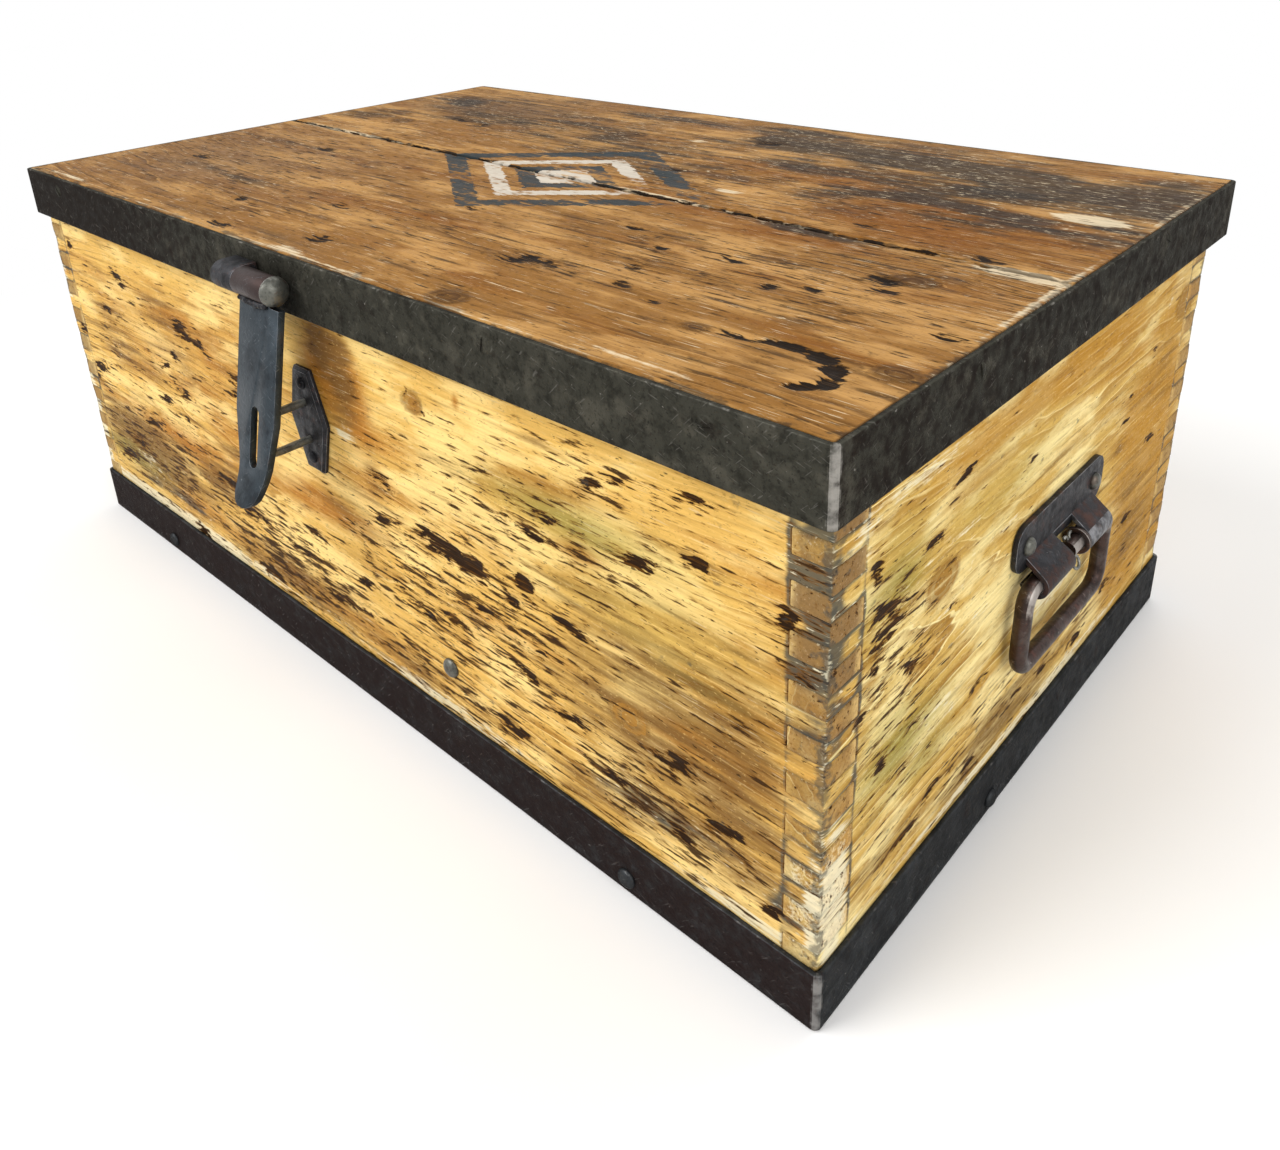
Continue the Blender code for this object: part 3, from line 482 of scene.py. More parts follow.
@dataclass(frozen=True)
class Iron(Coated):
    """Hand-worked iron or steel under an oxide skin: mottled dark, rust bloom, bare bright edges."""

    name: str
    skin: str
    dark: str
    pale: str
    rust: str
    bright: str
    metal: float = 0.75
    rough: tuple[float, float] = (0.45, 0.68)
    rusting: float = 0.5
    mottle_mm: float = 7.0
    edge: float = 0.9
    scratches: float = 0.2
    mottling: float = 0.8
    glance: str = "#ffffff"

    # Sizes in mm of the scale's grain, a rubbed patch, a rust spot and a scrape, and of the bloom in mottles
    SIZES_MM = {"speck": 2.2, "worn": 7.0, "spot": 14.0, "scrape": 3.08}
    BLOOM = 2.3
    # How far each pattern is moved from the one before it, and their noise
    APART = (2.1, 4.3, 1.7)
    NOISE = {"Detail": 4.0, "Roughness": 0.62}
    # How far mottles rise against the grain
    MOTTLE_RISE = 1.6
    RELIEF, SPREAD = (0.4, 0.5 * MM), (0.35, 0.65)
    # Length and width of a scratch in mm, and how the two sets of them lean
    SCRATCH_MM = (9.0, 0.8)
    SCRATCH_LEANS = (0.35, -0.8)
    SUMS = {"rubbed": ("wear", ("worn", 1.1)), "tarnished": ("tarnish", ("mottle", 1.2))}
    COATS = [
        ("dark", ("mottle", 0.44, 0.66, "mottling")),
        ("pale", ("bloom", 0.5, 0.66, 0.5)),
        ("rust", ("tarnished", 0.75, 1.25, 0.88)),
        ("rust", ("spot", 0.58, 0.68, "rusting")),
        ("rust", ("speck", 0.6, 0.7, "rusting")),
        ("dark", ("speck", 0.42, 0.34, 0.5)),
        ("bright", ("scratch_0", 0.66, 0.74, "scratches")),
        ("bright", ("scratch_1", 0.66, 0.74, "scratches")),
        ("bright", ("scrape", 0.69, 0.73, 0.6)),
        ("bright", ("rubbed", 1.3, 1.75, "edge")),
    ]

    def material(self) -> bpy.types.Material:
        """Write the finish's shader.

        Returns:
            The material.
        """
        made = bpy.data.materials.new(self.name)
        add = Web.shading(made).add
        coords = add("ShaderNodeTexCoord").outputs["Object"]
        sizes = {"mottle": self.mottle_mm, "bloom": self.mottle_mm * self.BLOOM, **self.SIZES_MM}
        value: Values = {}
        for i, (key, size) in enumerate(sizes.items()):
            place = {"Vector": coords, "Location": [step * i for step in self.APART]}
            moved = add("ShaderNodeMapping", place)
            value[key] = add("ShaderNodeTexNoise", {"Vector": moved, "Scale": 1 / (size * MM), **self.NOISE})
        long, wide = (size * MM for size in self.SCRATCH_MM)
        for i, lean in enumerate(self.SCRATCH_LEANS):
            place = {"Vector": coords, "Location": (0.3 * i, 0.1, 0.0), "Rotation": (lean, lean, 0.0)}
            moved = add("ShaderNodeMapping", place | {"Scale": (long, long, wide)}, vector_type="TEXTURE")
            value[f"scratch_{i}"] = add("ShaderNodeTexNoise", {"Vector": moved, "Scale": 1.0, "Detail": 2.0})
        for key in ("wear", "tarnish"):
            value[key] = add("ShaderNodeAttribute", attribute_name=key).outputs["Fac"]
        self.sum_up(add, value)
        colour = self.coat(add, value, linear(self.skin))
        feeds = {0: value["mottle"], 1: self.MOTTLE_RISE, 2: value["speck"]}
        height = add("ShaderNodeMath", feeds, operation="MULTIPLY_ADD")
        feeds = {"Base Color": colour, "Metallic": self.metal, "Specular Tint": linear(self.glance)}
        self.close(add, feeds, height, value["mottle"])
        return made


class Growth:
    """A geometry tree with named sizes, run once and kept as a plain mesh."""

    def __init__(self, name: str) -> None:
        """Start an empty tree.

        Args:
            name: the tree's name.
        """
        self.tree = bpy.data.node_groups.new(name, "GeometryNodeTree")
        for way in ("INPUT", "OUTPUT"):
            self.tree.interface.new_socket("Geometry", in_out=way, socket_type="NodeSocketGeometry")
        self.web = Web(self.tree)
        self.entry = self.web.add("NodeGroupInput")
        self.values: dict[str, object] = {}

    def size(self, name: str, value: float | int) -> object:
        """Add a named input.

        Args:
            name: what it is.
            value: its size.

        Returns:
            The socket that gives it inside the tree.
        """
        kind = "NodeSocketInt" if isinstance(value, int) else "NodeSocketFloat"
        item = self.tree.interface.new_socket(name, in_out="INPUT", socket_type=kind)
        self.values[item.identifier] = value
        return next(s for s in self.entry.outputs if s.identifier == item.identifier)

    def swayed(self, body: object, sway: object, seed: int, scale: float) -> object:
        """Move every point a little by smooth noise.

        Args:
            body: the geometry.
            sway: socket that gives how far.
            seed: which noise.
            scale: how fine it is.

        Returns:
            The moved geometry.
        """
        add = self.web.add
        feeds = {"Vector": add("GeometryNodeInputPosition"), "W": float(seed), "Scale": scale}
        wave = add("ShaderNodeTexNoise", feeds, noise_dimensions="4D").outputs["Color"]
        level = add("ShaderNodeVectorMath", {0: wave, 1: (0.5, 0.5, 0.5)}, operation="SUBTRACT")
        moved = add("ShaderNodeVectorMath", {0: level, "Scale": sway}, operation="SCALE")
        return add("GeometryNodeSetPosition", {"Geometry": body, "Offset": moved})

    def run(
        self, name: str, seed: bpy.types.Mesh, last: object, finish: bpy.types.Material
    ) -> bpy.types.Object:
        """Close the tree, run it on a seed mesh and keep the result.

        Args:
            name: the new object's name.
            seed: mesh that the tree grows from.
            last: socket or node with the finished geometry.
            finish: material of the result.

        Returns:
            A plain mesh object at the origin.
        """
        whole = self.web.add("GeometryNodeRealizeInstances", {0: last})
        dressed = self.web.add("GeometryNodeSetMaterial", {"Geometry": whole, "Material": finish})
        self.web.add("NodeGroupOutput", {0: dressed})
        made = new_object(name, seed)
        modifier = made.modifiers.new("growth", "NODES")
        modifier.node_group = self.tree
        for identifier, value in self.values.items():
            modifier[identifier] = value
        graph = bpy.context.evaluated_depsgraph_get()
        mesh = bpy.data.meshes.new_from_object(made.evaluated_get(graph), depsgraph=graph)
        made.modifiers.clear()
        made.data = mesh
        return made


class Ripple:
    """A smooth seeded wave field, about -1 to 1."""

    def __init__(self, seed: int, length: float, count: int = 14) -> None:
        """Draw the waves.

        Args:
            seed: random seed.
            length: typical wave length in metres.
            count: how many waves.
        """
        draw = np.random.default_rng(seed)
        way = draw.normal(size=(count, 3))
        way /= np.linalg.norm(way, axis=1)[:, None]
        self.waves = way * (2 * math.pi / (length * draw.uniform(0.6, 1.8, count)))[:, None]
        self.phases = draw.uniform(0, 2 * math.pi, count)

    def __call__(self, points: np.ndarray) -> np.ndarray:
        """The field's value at each of n by 3 places in metres."""
        return np.sin(points @ self.waves.T + self.phases).sum(1) / math.sqrt(len(self.phases))


def new_object(name: str, mesh: bpy.types.Mesh) -> bpy.types.Object:
    """Link a mesh into the scene.

    Args:
        name: the object's name.
        mesh: its mesh.

    Returns:
        The object, at the origin.
    """
    made = bpy.data.objects.new(name, mesh)
    bpy.context.scene.collection.objects.link(made)
    return made


def seat(piece: bpy.types.Object, body: Body, slot: Slot, *nodes: str) -> None:
    """Make a piece ride on its body and stand for its CAD nodes.

    Args:
        piece: the finished object.
        body: what it moves with.
        slot: the record's material slot; not used.
        nodes: CAD nodes that it replaces.
    """
    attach(piece, body.value)
    if nodes:
        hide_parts(*nodes)
    faces = len(piece.data.polygons)
    LOG.info("%s rides on %s, %d faces, stands for %d nodes", piece.name, body.value, faces, len(nodes))


def write_floats(mesh: bpy.types.Mesh, name: str, values: np.ndarray, domain: str = "POINT") -> None:
    """Store an attribute on a mesh.

    Args:
        mesh: where to.
        name: the attribute's name.
        values: one number, or three, for each element.
        domain: POINT or FACE.
    """
    kind, key = ("FLOAT", "value") if values.ndim == 1 else ("FLOAT_VECTOR", "vector")
    layer = mesh.attributes.new(name, kind, domain)
    layer.data.foreach_set(key, values.astype(np.float32).ravel())


def bevel_sharp(mesh: bpy.types.Mesh, width: float, turn: float = 35, worn: float = 1.0) -> None:
    """Round a mesh's sharp outer edges and mark the new faces as worn.

    Args:
        mesh: what to round, merged already.
        width: how far the rounding reaches.
        turn: least angle in degrees of an edge that is rounded.
        worn: how worn the new faces are.
    """
    work = bmesh.new()
    work.from_mesh(mesh)
    least = math.radians(turn)
    sharp = [e for e in work.edges if e.is_manifold and e.is_convex and e.calc_face_angle() > least]
    done = bmesh.ops.bevel(
        work, geom=sharp, offset=width, segments=BEVEL_STEPS, profile=0.5, affect="EDGES", clamp_overlap=True
    )
    work.faces.index_update()
    fresh = sorted({f.index for f in done["faces"]})
    work.to_mesh(mesh)
    work.free()
    flags = np.zeros(len(mesh.polygons))
    flags[fresh] = worn
    write_floats(mesh, "wear", flags, "FACE")


def face_mask(mesh: bpy.types.Mesh, name: str, rule: Rule) -> None:
    """Write a face attribute by a rule, or raise the one that is there.

    Args:
        mesh: where to.
        name: the attribute's name.
        rule: gives a value for each face from its middle and its normal.
    """
    count = len(mesh.polygons)
    middles, ways, old = np.zeros(count * 3), np.zeros(count * 3), np.zeros(count)
    mesh.polygons.foreach_get("center", middles)
    mesh.polygon_normals.foreach_get("vector", ways)
    values = rule(middles.reshape(-1, 3), ways.reshape(-1, 3))
    if name in mesh.attributes:
        mesh.attributes[name].data.foreach_get("value", old)
        mesh.attributes.remove(mesh.attributes[name])
    write_floats(mesh, name, np.maximum(values, old), "FACE")


def dress(
    node: str, edge_mm: float, finish: bpy.types.Material, body: Body, slot: Slot, **rules: Rule
) -> None:
    """Seat a merged copy of a CAD node with rounded edges in the node's place.

    Args:
        node: the CAD node.
        edge_mm: how far the rounding reaches.
        finish: its material.
        body: what it moves with.
        slot: the record's material slot.
        rules: face attribute to the rule for its values.
    """
    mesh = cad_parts[node].data.copy()
    mesh.materials.clear()
    mesh.materials.append(finish)
    work = bmesh.new()
    work.from_mesh(mesh)
    bmesh.ops.remove_doubles(work, verts=work.verts, dist=WELD)
    bmesh.ops.dissolve_limit(work, angle_limit=math.radians(FLAT), verts=work.verts, edges=work.edges)
    work.to_mesh(mesh)
    work.free()
    bevel_sharp(mesh, edge_mm * MM)
    mesh.shade_smooth()
    mesh.set_sharp_from_angle(angle=math.radians(SHARP))
    for name, rule in rules.items():
        face_mask(mesh, name, rule)
    seat(new_object(f"{node}_dressed", mesh), body, slot, node)


def rounded(points: list[tuple[float, float]], radius: float, steps: int = 6) -> list[tuple[float, float]]:
    """A polyline with each inner corner turned into an arc.

    Args:
        points: corners.
        radius: of the arcs.
        steps: points on each arc, less one.

    Returns:
        The points of the rounded line.
    """
    out = [points[0]]
    for before, corner, after in zip(points, points[1:], points[2:]):
        here = Vector(corner)
        a, b = (Vector(before) - here).normalized(), (Vector(after) - here).normalized()
        half = a.angle(b) / 2
        centre = here + (a + b).normalized() * radius / math.sin(half)
        start, stop = (here + side * radius / math.tan(half) - centre for side in (a, b))
        turn = start.angle(stop)
        for i in range(steps + 1):
            t = i / steps
            spoke = (start * math.sin((1 - t) * turn) + stop * math.sin(t * turn)) / math.sin(turn)
            out.append(tuple(centre + spoke))
    return out + [points[-1]]


@dataclass
class Board:
    """One sawn board, with a comb at its ends where it has one, and the marks that it carries."""

    name: str
    nodes: tuple[str, ...]
    body: Body
    slot: Slot
    finish: bpy.types.Material
    face: Face
    along: tuple[float, float]
    across: tuple[float, float]
    outer: float
    thickness: float
    comb: int | None = None
    root: float = 0.0
    cell: float = 0.003
    spacing: float = 4.6
    pith: tuple[float, float] = (70.0, 0.0)
    tilt: float = 0.035
    seed: int = 1
    dent: float = 0.25
    seam: float = 0.0
    seam_gap: float = 0.9 * MM
    marks: Spots = ()
    burns: Spots = ()
    knots: Sequence[tuple[float, float, float]] = ()
    knot_halo: float = 0.0
    stains: Spots = ()
    greens: Spots = ()
    pales: Spots = ()
    ambers: Spots = ()
    darks: Spots = ()
    flecks: Spots = ()
    grain_up: bool = False

    # Attribute to the three masks that it holds
    ATTRIBUTES = {
        "wood_a": ("mark", "wear", "stain"),
        "wood_b": ("green", "pale", "knot"),
        "wood_c": ("end", "inside", "ring"),
        "wood_d": ("amber", "dark", "fleck"),
    }
    # Masks that are patches, each from the field with its name and an s
    PATCHES = ("stain", "green", "pale", "amber", "dark", "fleck")
    SLOTS = 22
    ROWS_PER_FINGER = 4
    DEPTH_STEPS = 4
    EDGE = 0.7 * MM
    # Depth in mm of the worn skin and of marks, and seed and length of the long and the short waves
    SKIN_MM = 3
    MARK_MM = 1.1
    WAVES = ((0, 0.045), (50, 0.012))
    # How much of the wear is even, and in long and in short waves, and the least of it
    WAVE_SHARES, LEAST_WEAR = (0.6, 0.25, 0.15), 0.1
    # How squarely a face looks along the grain where it begins to be end wood, and over how much more
    END_FACING, END_SPREAD = 0.55, 0.2
    # How far above the back bare wood begins, and over how much, in mm
    BACK_MM, BACK_SPREAD_MM = 1.0, 0.6
    # A knot: length over height, how far and how much rings bend round it, its rim in mm, and its rings
    KNOT_LONG, KNOT_REACH, KNOT_BEND, KNOT_RIM_MM, KNOT_RINGS = 1.5, 1.9, 0.92, 2.5, 2.2
    # The pale halo round it: place and width, in sizes of the knot
    HALO_AT, HALO_WIDTH = 1.9, 0.22
    # Slow waves of the rings along a board: height and run in mm, and how a seed shifts them
    RING_WAVES = ((7, 130, 1.0), (4, 57, 2.1))
    # How far dirt lies from a joint, and how dark it is
    JOINT_REACH = 1.0 * MM
    JOINT_DIRT = 0.66
    # The box's upright edges: place, reach of wear in mm, its waves, and its depth on the near one and others
    CORNER = (0.3855, 0.2245)
    CORNER_REACH_MM = 6
    CORNER_WAVE = 0.022
    NEAR_CORNER_WEAR, CORNER_WEAR = 1.0 * MM, 0.4 * MM
    # A plank's rim: how fast its wear falls off, its waves, and its depth in mm
    RIM_FALL, RIM_WAVE, RIM_DEPTH_MM = 3.5 * MM, 0.05, 6
    # The lid's seam: shift at the middle, slant over half the lid, and its short waves
    SEAM_SHIFT, SEAM_SLANT, SEAM_HALF = 6 * MM, -12.5 * MM, 0.387
    SEAM_WAVE, SEAM_WAVE_RUN = 0.6 * MM, 21 * MM
    # Chips along the seam: width, depth, reach, spacing, and the height above which they lie
    CHIP_WIDTH, CHIP_DEPTH, CHIP_REACH, CHIP_RUN, CHIP_FLOOR = 2.2 * MM, 1.2 * MM, 4 * MM, 18 * MM, 0.31

    def place(self, u: np.ndarray, w: np.ndarray, d: np.ndarray) -> np.ndarray:
        """Places in the frame.

        Args:
            u: along the grain.
            w: across the face.
            d: depth below the show face.

        Returns:
            n by 3 points.
        """
        axis, sign = self.face.value
        deep = self.outer - sign * d
        order = [w, u] if self.grain_up else [u, w]
        order.insert(axis, deep)
        return np.stack(order, -1)

    def unplace(self, points: np.ndarray) -> Three:
        """Along, across and depth of points in the frame.

        Args:
            points: n by 3 places.

        Returns:
            u, w and d, in metres.
        """
        axis, sign = self.face.value
        d = (self.outer - points[:, axis]) * sign
        rest = [points[:, i] for i in range(3) if i != axis]
        return (rest[1], rest[0], d) if self.grain_up else (rest[0], rest[1], d)

    def lines(self) -> Three:
        """Grid lines along and across the face, and which cells are wood.

        Returns:
            Lines along, lines across, and a table of cells.
        """
        low, high = self.along
        bottom, top = self.across
        if self.comb is None:
            u = np.linspace(low, high, max(2, round((high - low) / self.cell)) + 1)
            w = np.linspace(bottom, top, max(2, round((top - bottom) / self.cell)) + 1)
            return u, w, np.ones((len(u) - 1, len(w) - 1), bool)
        w = np.linspace(bottom, top, self.SLOTS * self.ROWS_PER_FINGER + 1)
        tips = max(2, round((high - self.root) / (1.6 * self.cell)))
        body = np.linspace(-self.root, self.root, round(2 * self.root / self.cell) + 1)
        left, right = np.linspace(low, -self.root, tips + 1), np.linspace(self.root, high, tips + 1)
        u = np.concatenate([left[:-1], body, right[1:]])
        middle = (u[:-1] + u[1:]) / 2
        slot = np.arange(len(w) - 1) // self.ROWS_PER_FINGER
        own = slot % 2 == self.comb
        return u, w, (np.abs(middle) < self.root)[:, None] | own[None, :]

    def mesh(self) -> bpy.types.Mesh:
        """Build the board as a closed grid with rounded edges.

        Returns:
            The mesh, in place.
        """
        u, w, wood = self.lines()
        d = np.linspace(0, self.thickness, self.DEPTH_STEPS + 1)
        number: dict[tuple[int, int, int], int] = {}
        faces = []

        def vertex(i: int, j: int, k: int) -> int:
            """Number of a grid point, given out on first use."""
            return number.setdefault((i, j, k), len(number))

        padded = np.pad(wood, 1)
        deepest = self.DEPTH_STEPS
        for i, j in zip(*np.nonzero(wood)):
            ring = ((i, j), (i + 1, j), (i + 1, j + 1), (i, j + 1))
            faces.append([vertex(a, b, 0) for a, b in ring])
            faces.append([vertex(a, b, deepest) for a, b in reversed(ring)])
            beside = ((i + 1, j), (i + 2, j + 1), (i + 1, j + 2), (i, j + 1))
            for n, next_cell in enumerate(beside):
                if not padded[next_cell]:
                    a, b = ring[n], ring[(n + 1) % 4]
                    for k in range(deepest):
                        faces.append([vertex(*b, k), vertex(*a, k), vertex(*a, k + 1), vertex(*b, k + 1)])
        keys = np.array(list(number))
        points = self.place(u[keys[:, 0]], w[keys[:, 1]], d[keys[:, 2]])
        mesh = bpy.data.meshes.new(self.name)
        mesh.from_pydata(points.tolist(), [], faces)
        work = bmesh.new()
        work.from_mesh(mesh)
        bmesh.ops.recalc_face_normals(work, faces=work.faces)
        work.to_mesh(mesh)
        work.free()
        bevel_sharp(mesh, self.EDGE)
        return mesh

    def ring_field(self, u: np.ndarray, w: np.ndarray, d: np.ndarray) -> Three:
        """Which year ring each point lies in, and how far inside a knot it is.

        Args:
            u: along, in mm.
            w: across, in mm.
            d: depth, in mm.

        Returns:
            Ring count, knot mask and the pale ring round each knot.
        """
        bent, knot = w.copy(), np.zeros_like(w)
        own, halo = np.zeros_like(w), np.zeros_like(w)
        for at_u, at_w, size in self.knots:
            away = np.hypot((u - at_u) / self.KNOT_LONG, w - at_w)
            drawn_in = self.KNOT_BEND * np.exp(-((away / (self.KNOT_REACH * size)) ** 2))
            bent = at_w + (bent - at_w) * (1 - drawn_in)
            inside = np.clip((size - away) / self.KNOT_RIM_MM + 0.5, 0, 1)
            knot = np.maximum(knot, inside)
            halo = np.maximum(halo, np.exp(-(((away / size - self.HALO_AT) / self.HALO_WIDTH) ** 2)))
            own = np.where(inside > 0.5, away / (size / self.KNOT_RINGS), own)
        deep, middle = self.pith
        sway = sum(high * np.sin(u / run + shift * self.seed) for high, run, shift in self.RING_WAVES)
        ring = np.hypot(bent - middle - sway, d + deep + self.tilt * u) / self.spacing
        return np.where(knot > 0.5, own, ring), knot, halo

    @staticmethod
    def spread(u: np.ndarray, w: np.ndarray, patches: Spots) -> np.ndarray:
        """Spread soft patches over a face.

        Args:
            u: along, in mm.
            w: across, in mm.
            patches: the patches, each with its strength.

        Returns:
            Strength of the strongest patch at each point.
        """
        total = np.zeros_like(u)
        for at_u, at_w, long, tall, strength in patches:
            away = ((u - at_u) / long) ** 2 + ((w - at_w) / tall) ** 2
            here = strength * np.exp(-0.7 * away)
            total = np.where(np.abs(here) > np.abs(total), here, total)
        return total

    def spotted(self, u: np.ndarray, w: np.ndarray) -> np.ndarray:
        """Lay out marks, which are ragged, and burns, which are solid.

        Args:
            u: along, in mm.
            w: across, in mm.

        Returns:
            How far inside one each point lies.
        """
        total = np.zeros_like(u)
        for spots, top, fall in ((self.marks, 1.0, 0.5), (self.burns, 1.7, 1.2)):
            for at_u, at_w, long, tall, turn in spots:
                c, s = math.cos(math.radians(turn)), math.sin(math.radians(turn))
                x, y = (u - at_u) * c + (w - at_w) * s, (w - at_w) * c - (u - at_u) * s
                total = np.maximum(total, np.clip(top - fall * np.hypot(x / long, y / tall), 0, 1.4))
        return total

    def build(self) -> None:
        """Make the board, wear it down and write its masks."""
        mesh = self.mesh()
        count = len(mesh.vertices)
        points, turned = np.zeros(count * 3), np.zeros(count * 3)
        mesh.vertices.foreach_get("co", points)
        mesh.vertex_normals.foreach_get("vector", turned)
        points, turned = points.reshape(-1, 3), turned.reshape(-1, 3)
        u, w, d = self.unplace(points)
        um, wm, dm = u / MM, w / MM, d / MM
        mark = self.spotted(um, wm)
        near = np.clip(1 - dm / self.SKIN_MM, 0, 1)
        wavy, fine = (Ripple(self.seed + more, length)(points) for more, length in self.WAVES)
        even, long, short = self.WAVE_SHARES
        waves = np.maximum(even + long * wavy + short * fine, self.LEAST_WEAR)
        sunk = near * (self.dent * waves + self.MARK_MM * np.clip(2 * mark - 0.8, 0, 1))
        worn = self.wear_rims(points, u, w, dm) if self.comb is None else self.wear_corners(points)
        axis, sign = self.face.value
        points[:, axis] -= sign * sunk * MM
        if self.seam:
            self.slant(points, w)
        mesh.vertices.foreach_set("co", points.ravel())
        mesh.update()
        mesh.shade_smooth()
        grain = 1 if axis == 0 or self.grain_up else 0
        end = np.clip((np.abs(turned[:, grain]) - self.END_FACING) / self.END_SPREAD, 0, 1)
        raw_back = self.comb is not None or self.slot is Slot.LID_PINE
        inside = np.clip((dm - self.thickness / MM + self.BACK_MM) / self.BACK_SPREAD_MM, 0, 1) * raw_back
        ring, knot, halo = self.ring_field(um, wm, dm)
        outside = 1 - inside
        columns = {key: self.spread(um, wm, getattr(self, f"{key}s")) * outside for key in self.PATCHES}
        columns["pale"] = np.maximum(columns["pale"], self.knot_halo * halo * outside)
        if self.comb is not None:
            columns["dark"] = np.maximum(columns["dark"], self.joint_lines(u, w) * outside)
        columns |= {"mark": mark * (near > 0), "wear": worn, "knot": knot, "ring": ring, "inside": inside}
        columns["end"] = end * outside * (1 - np.clip(columns["pale"], 0, 1))
        for name, keys in self.ATTRIBUTES.items():
            write_floats(mesh, name, np.stack([columns[k] for k in keys], 1))
        mesh.materials.append(self.finish)
        seat(new_object(self.name, mesh), self.body, self.slot, *self.nodes)

    def joint_lines(self, u: np.ndarray, w: np.ndarray) -> np.ndarray:
        """Dirt in the comb's joints.

        Args:
            u: along.
            w: across.

        Returns:
            How dark each point is.
        """
        low, high = self.across
        pitch = (high - low) / self.SLOTS
        level = np.abs((w - low) / pitch - np.round((w - low) / pitch)) * pitch
        beyond = np.abs(u) - self.root
        near = (level < self.JOINT_REACH) & (beyond > -self.JOINT_REACH)
        return self.JOINT_DIRT * (near | (np.abs(beyond) < self.JOINT_REACH))

    def wear_corners(self, points: np.ndarray) -> np.ndarray:
        """Round the box's upright corners unevenly.

        Args:
            points: places, changed in place.

        Returns:
            How worn each point is.
        """
        worn = np.zeros(len(points))
        for sx in (-1, 1):
            for sy in (-1, 1):
                dx, dy = self.CORNER[0] - sx * points[:, 0], self.CORNER[1] - sy * points[:, 1]
                away = np.hypot(dx, dy) / MM
                line = np.column_stack([np.full((len(points), 2), (sx, sy)), points[:, 2] / MM]) * MM
                rough = 0.5 + 0.7 * Ripple(71 + sx + 3 * sy, self.CORNER_WAVE)(line)
                pull = np.clip(rough, 0, 1.6) * np.clip(1 - away / self.CORNER_REACH_MM, 0, 1)
                deep = self.NEAR_CORNER_WEAR if (sx, sy) == (1, -1) else self.CORNER_WEAR
                points[:, 0] -= sx * pull * deep
                points[:, 1] -= sy * pull * deep
                worn = np.maximum(worn, np.exp(-away / 5) * (0.55 + 0.25 * rough))
        return worn

    def wear_rims(self, points: np.ndarray, u: np.ndarray, w: np.ndarray, deep: np.ndarray) -> np.ndarray:
        """How scuffed a plank's rim is.

        Args:
            points: places.
            u: along.
            w: across.
            deep: depth in mm.

        Returns:
            How worn each point is.
        """
        (low, high), (bottom, top) = self.along, self.across
        rim = np.min((u - low, high - u, w - bottom, top - w), axis=0)
        rough = 0.5 + 0.6 * Ripple(self.seed + 9, self.RIM_WAVE)(points)
        return np.exp(-np.maximum(rim, 0) / self.RIM_FALL) * (0.3 + 0.4 * rough) * (deep < self.RIM_DEPTH_MM)

    def slant(self, points: np.ndarray, w: np.ndarray) -> None:
        """Skew a lid plank towards the crooked seam and chip its edge.

        Args:
            points: places, changed in place.
            w: across.
        """
        low, high = self.across
        share = (w - low) / (high - low) if self.seam > 0 else (high - w) / (high - low)
        run = self.SEAM_SHIFT + self.SEAM_SLANT * points[:, 0] / self.SEAM_HALF
        run += self.SEAM_WAVE * np.sin(points[:, 0] / self.SEAM_WAVE_RUN)
        points[:, 1] += np.clip(share, 0, 1) * run
        chip = np.clip(Ripple(33 + int(self.seam), self.CHIP_RUN)(points * (1, 0, 0)) - 0.35, 0, 1)
        edge = np.clip(1 - (1 - share) * (high - low) / self.CHIP_REACH, 0, 1)
        points[:, 1] -= self.seam * (self.seam_gap + self.CHIP_WIDTH * chip) * edge
        points[:, 2] -= self.CHIP_DEPTH * chip * edge * (points[:, 2] > self.CHIP_FLOOR)


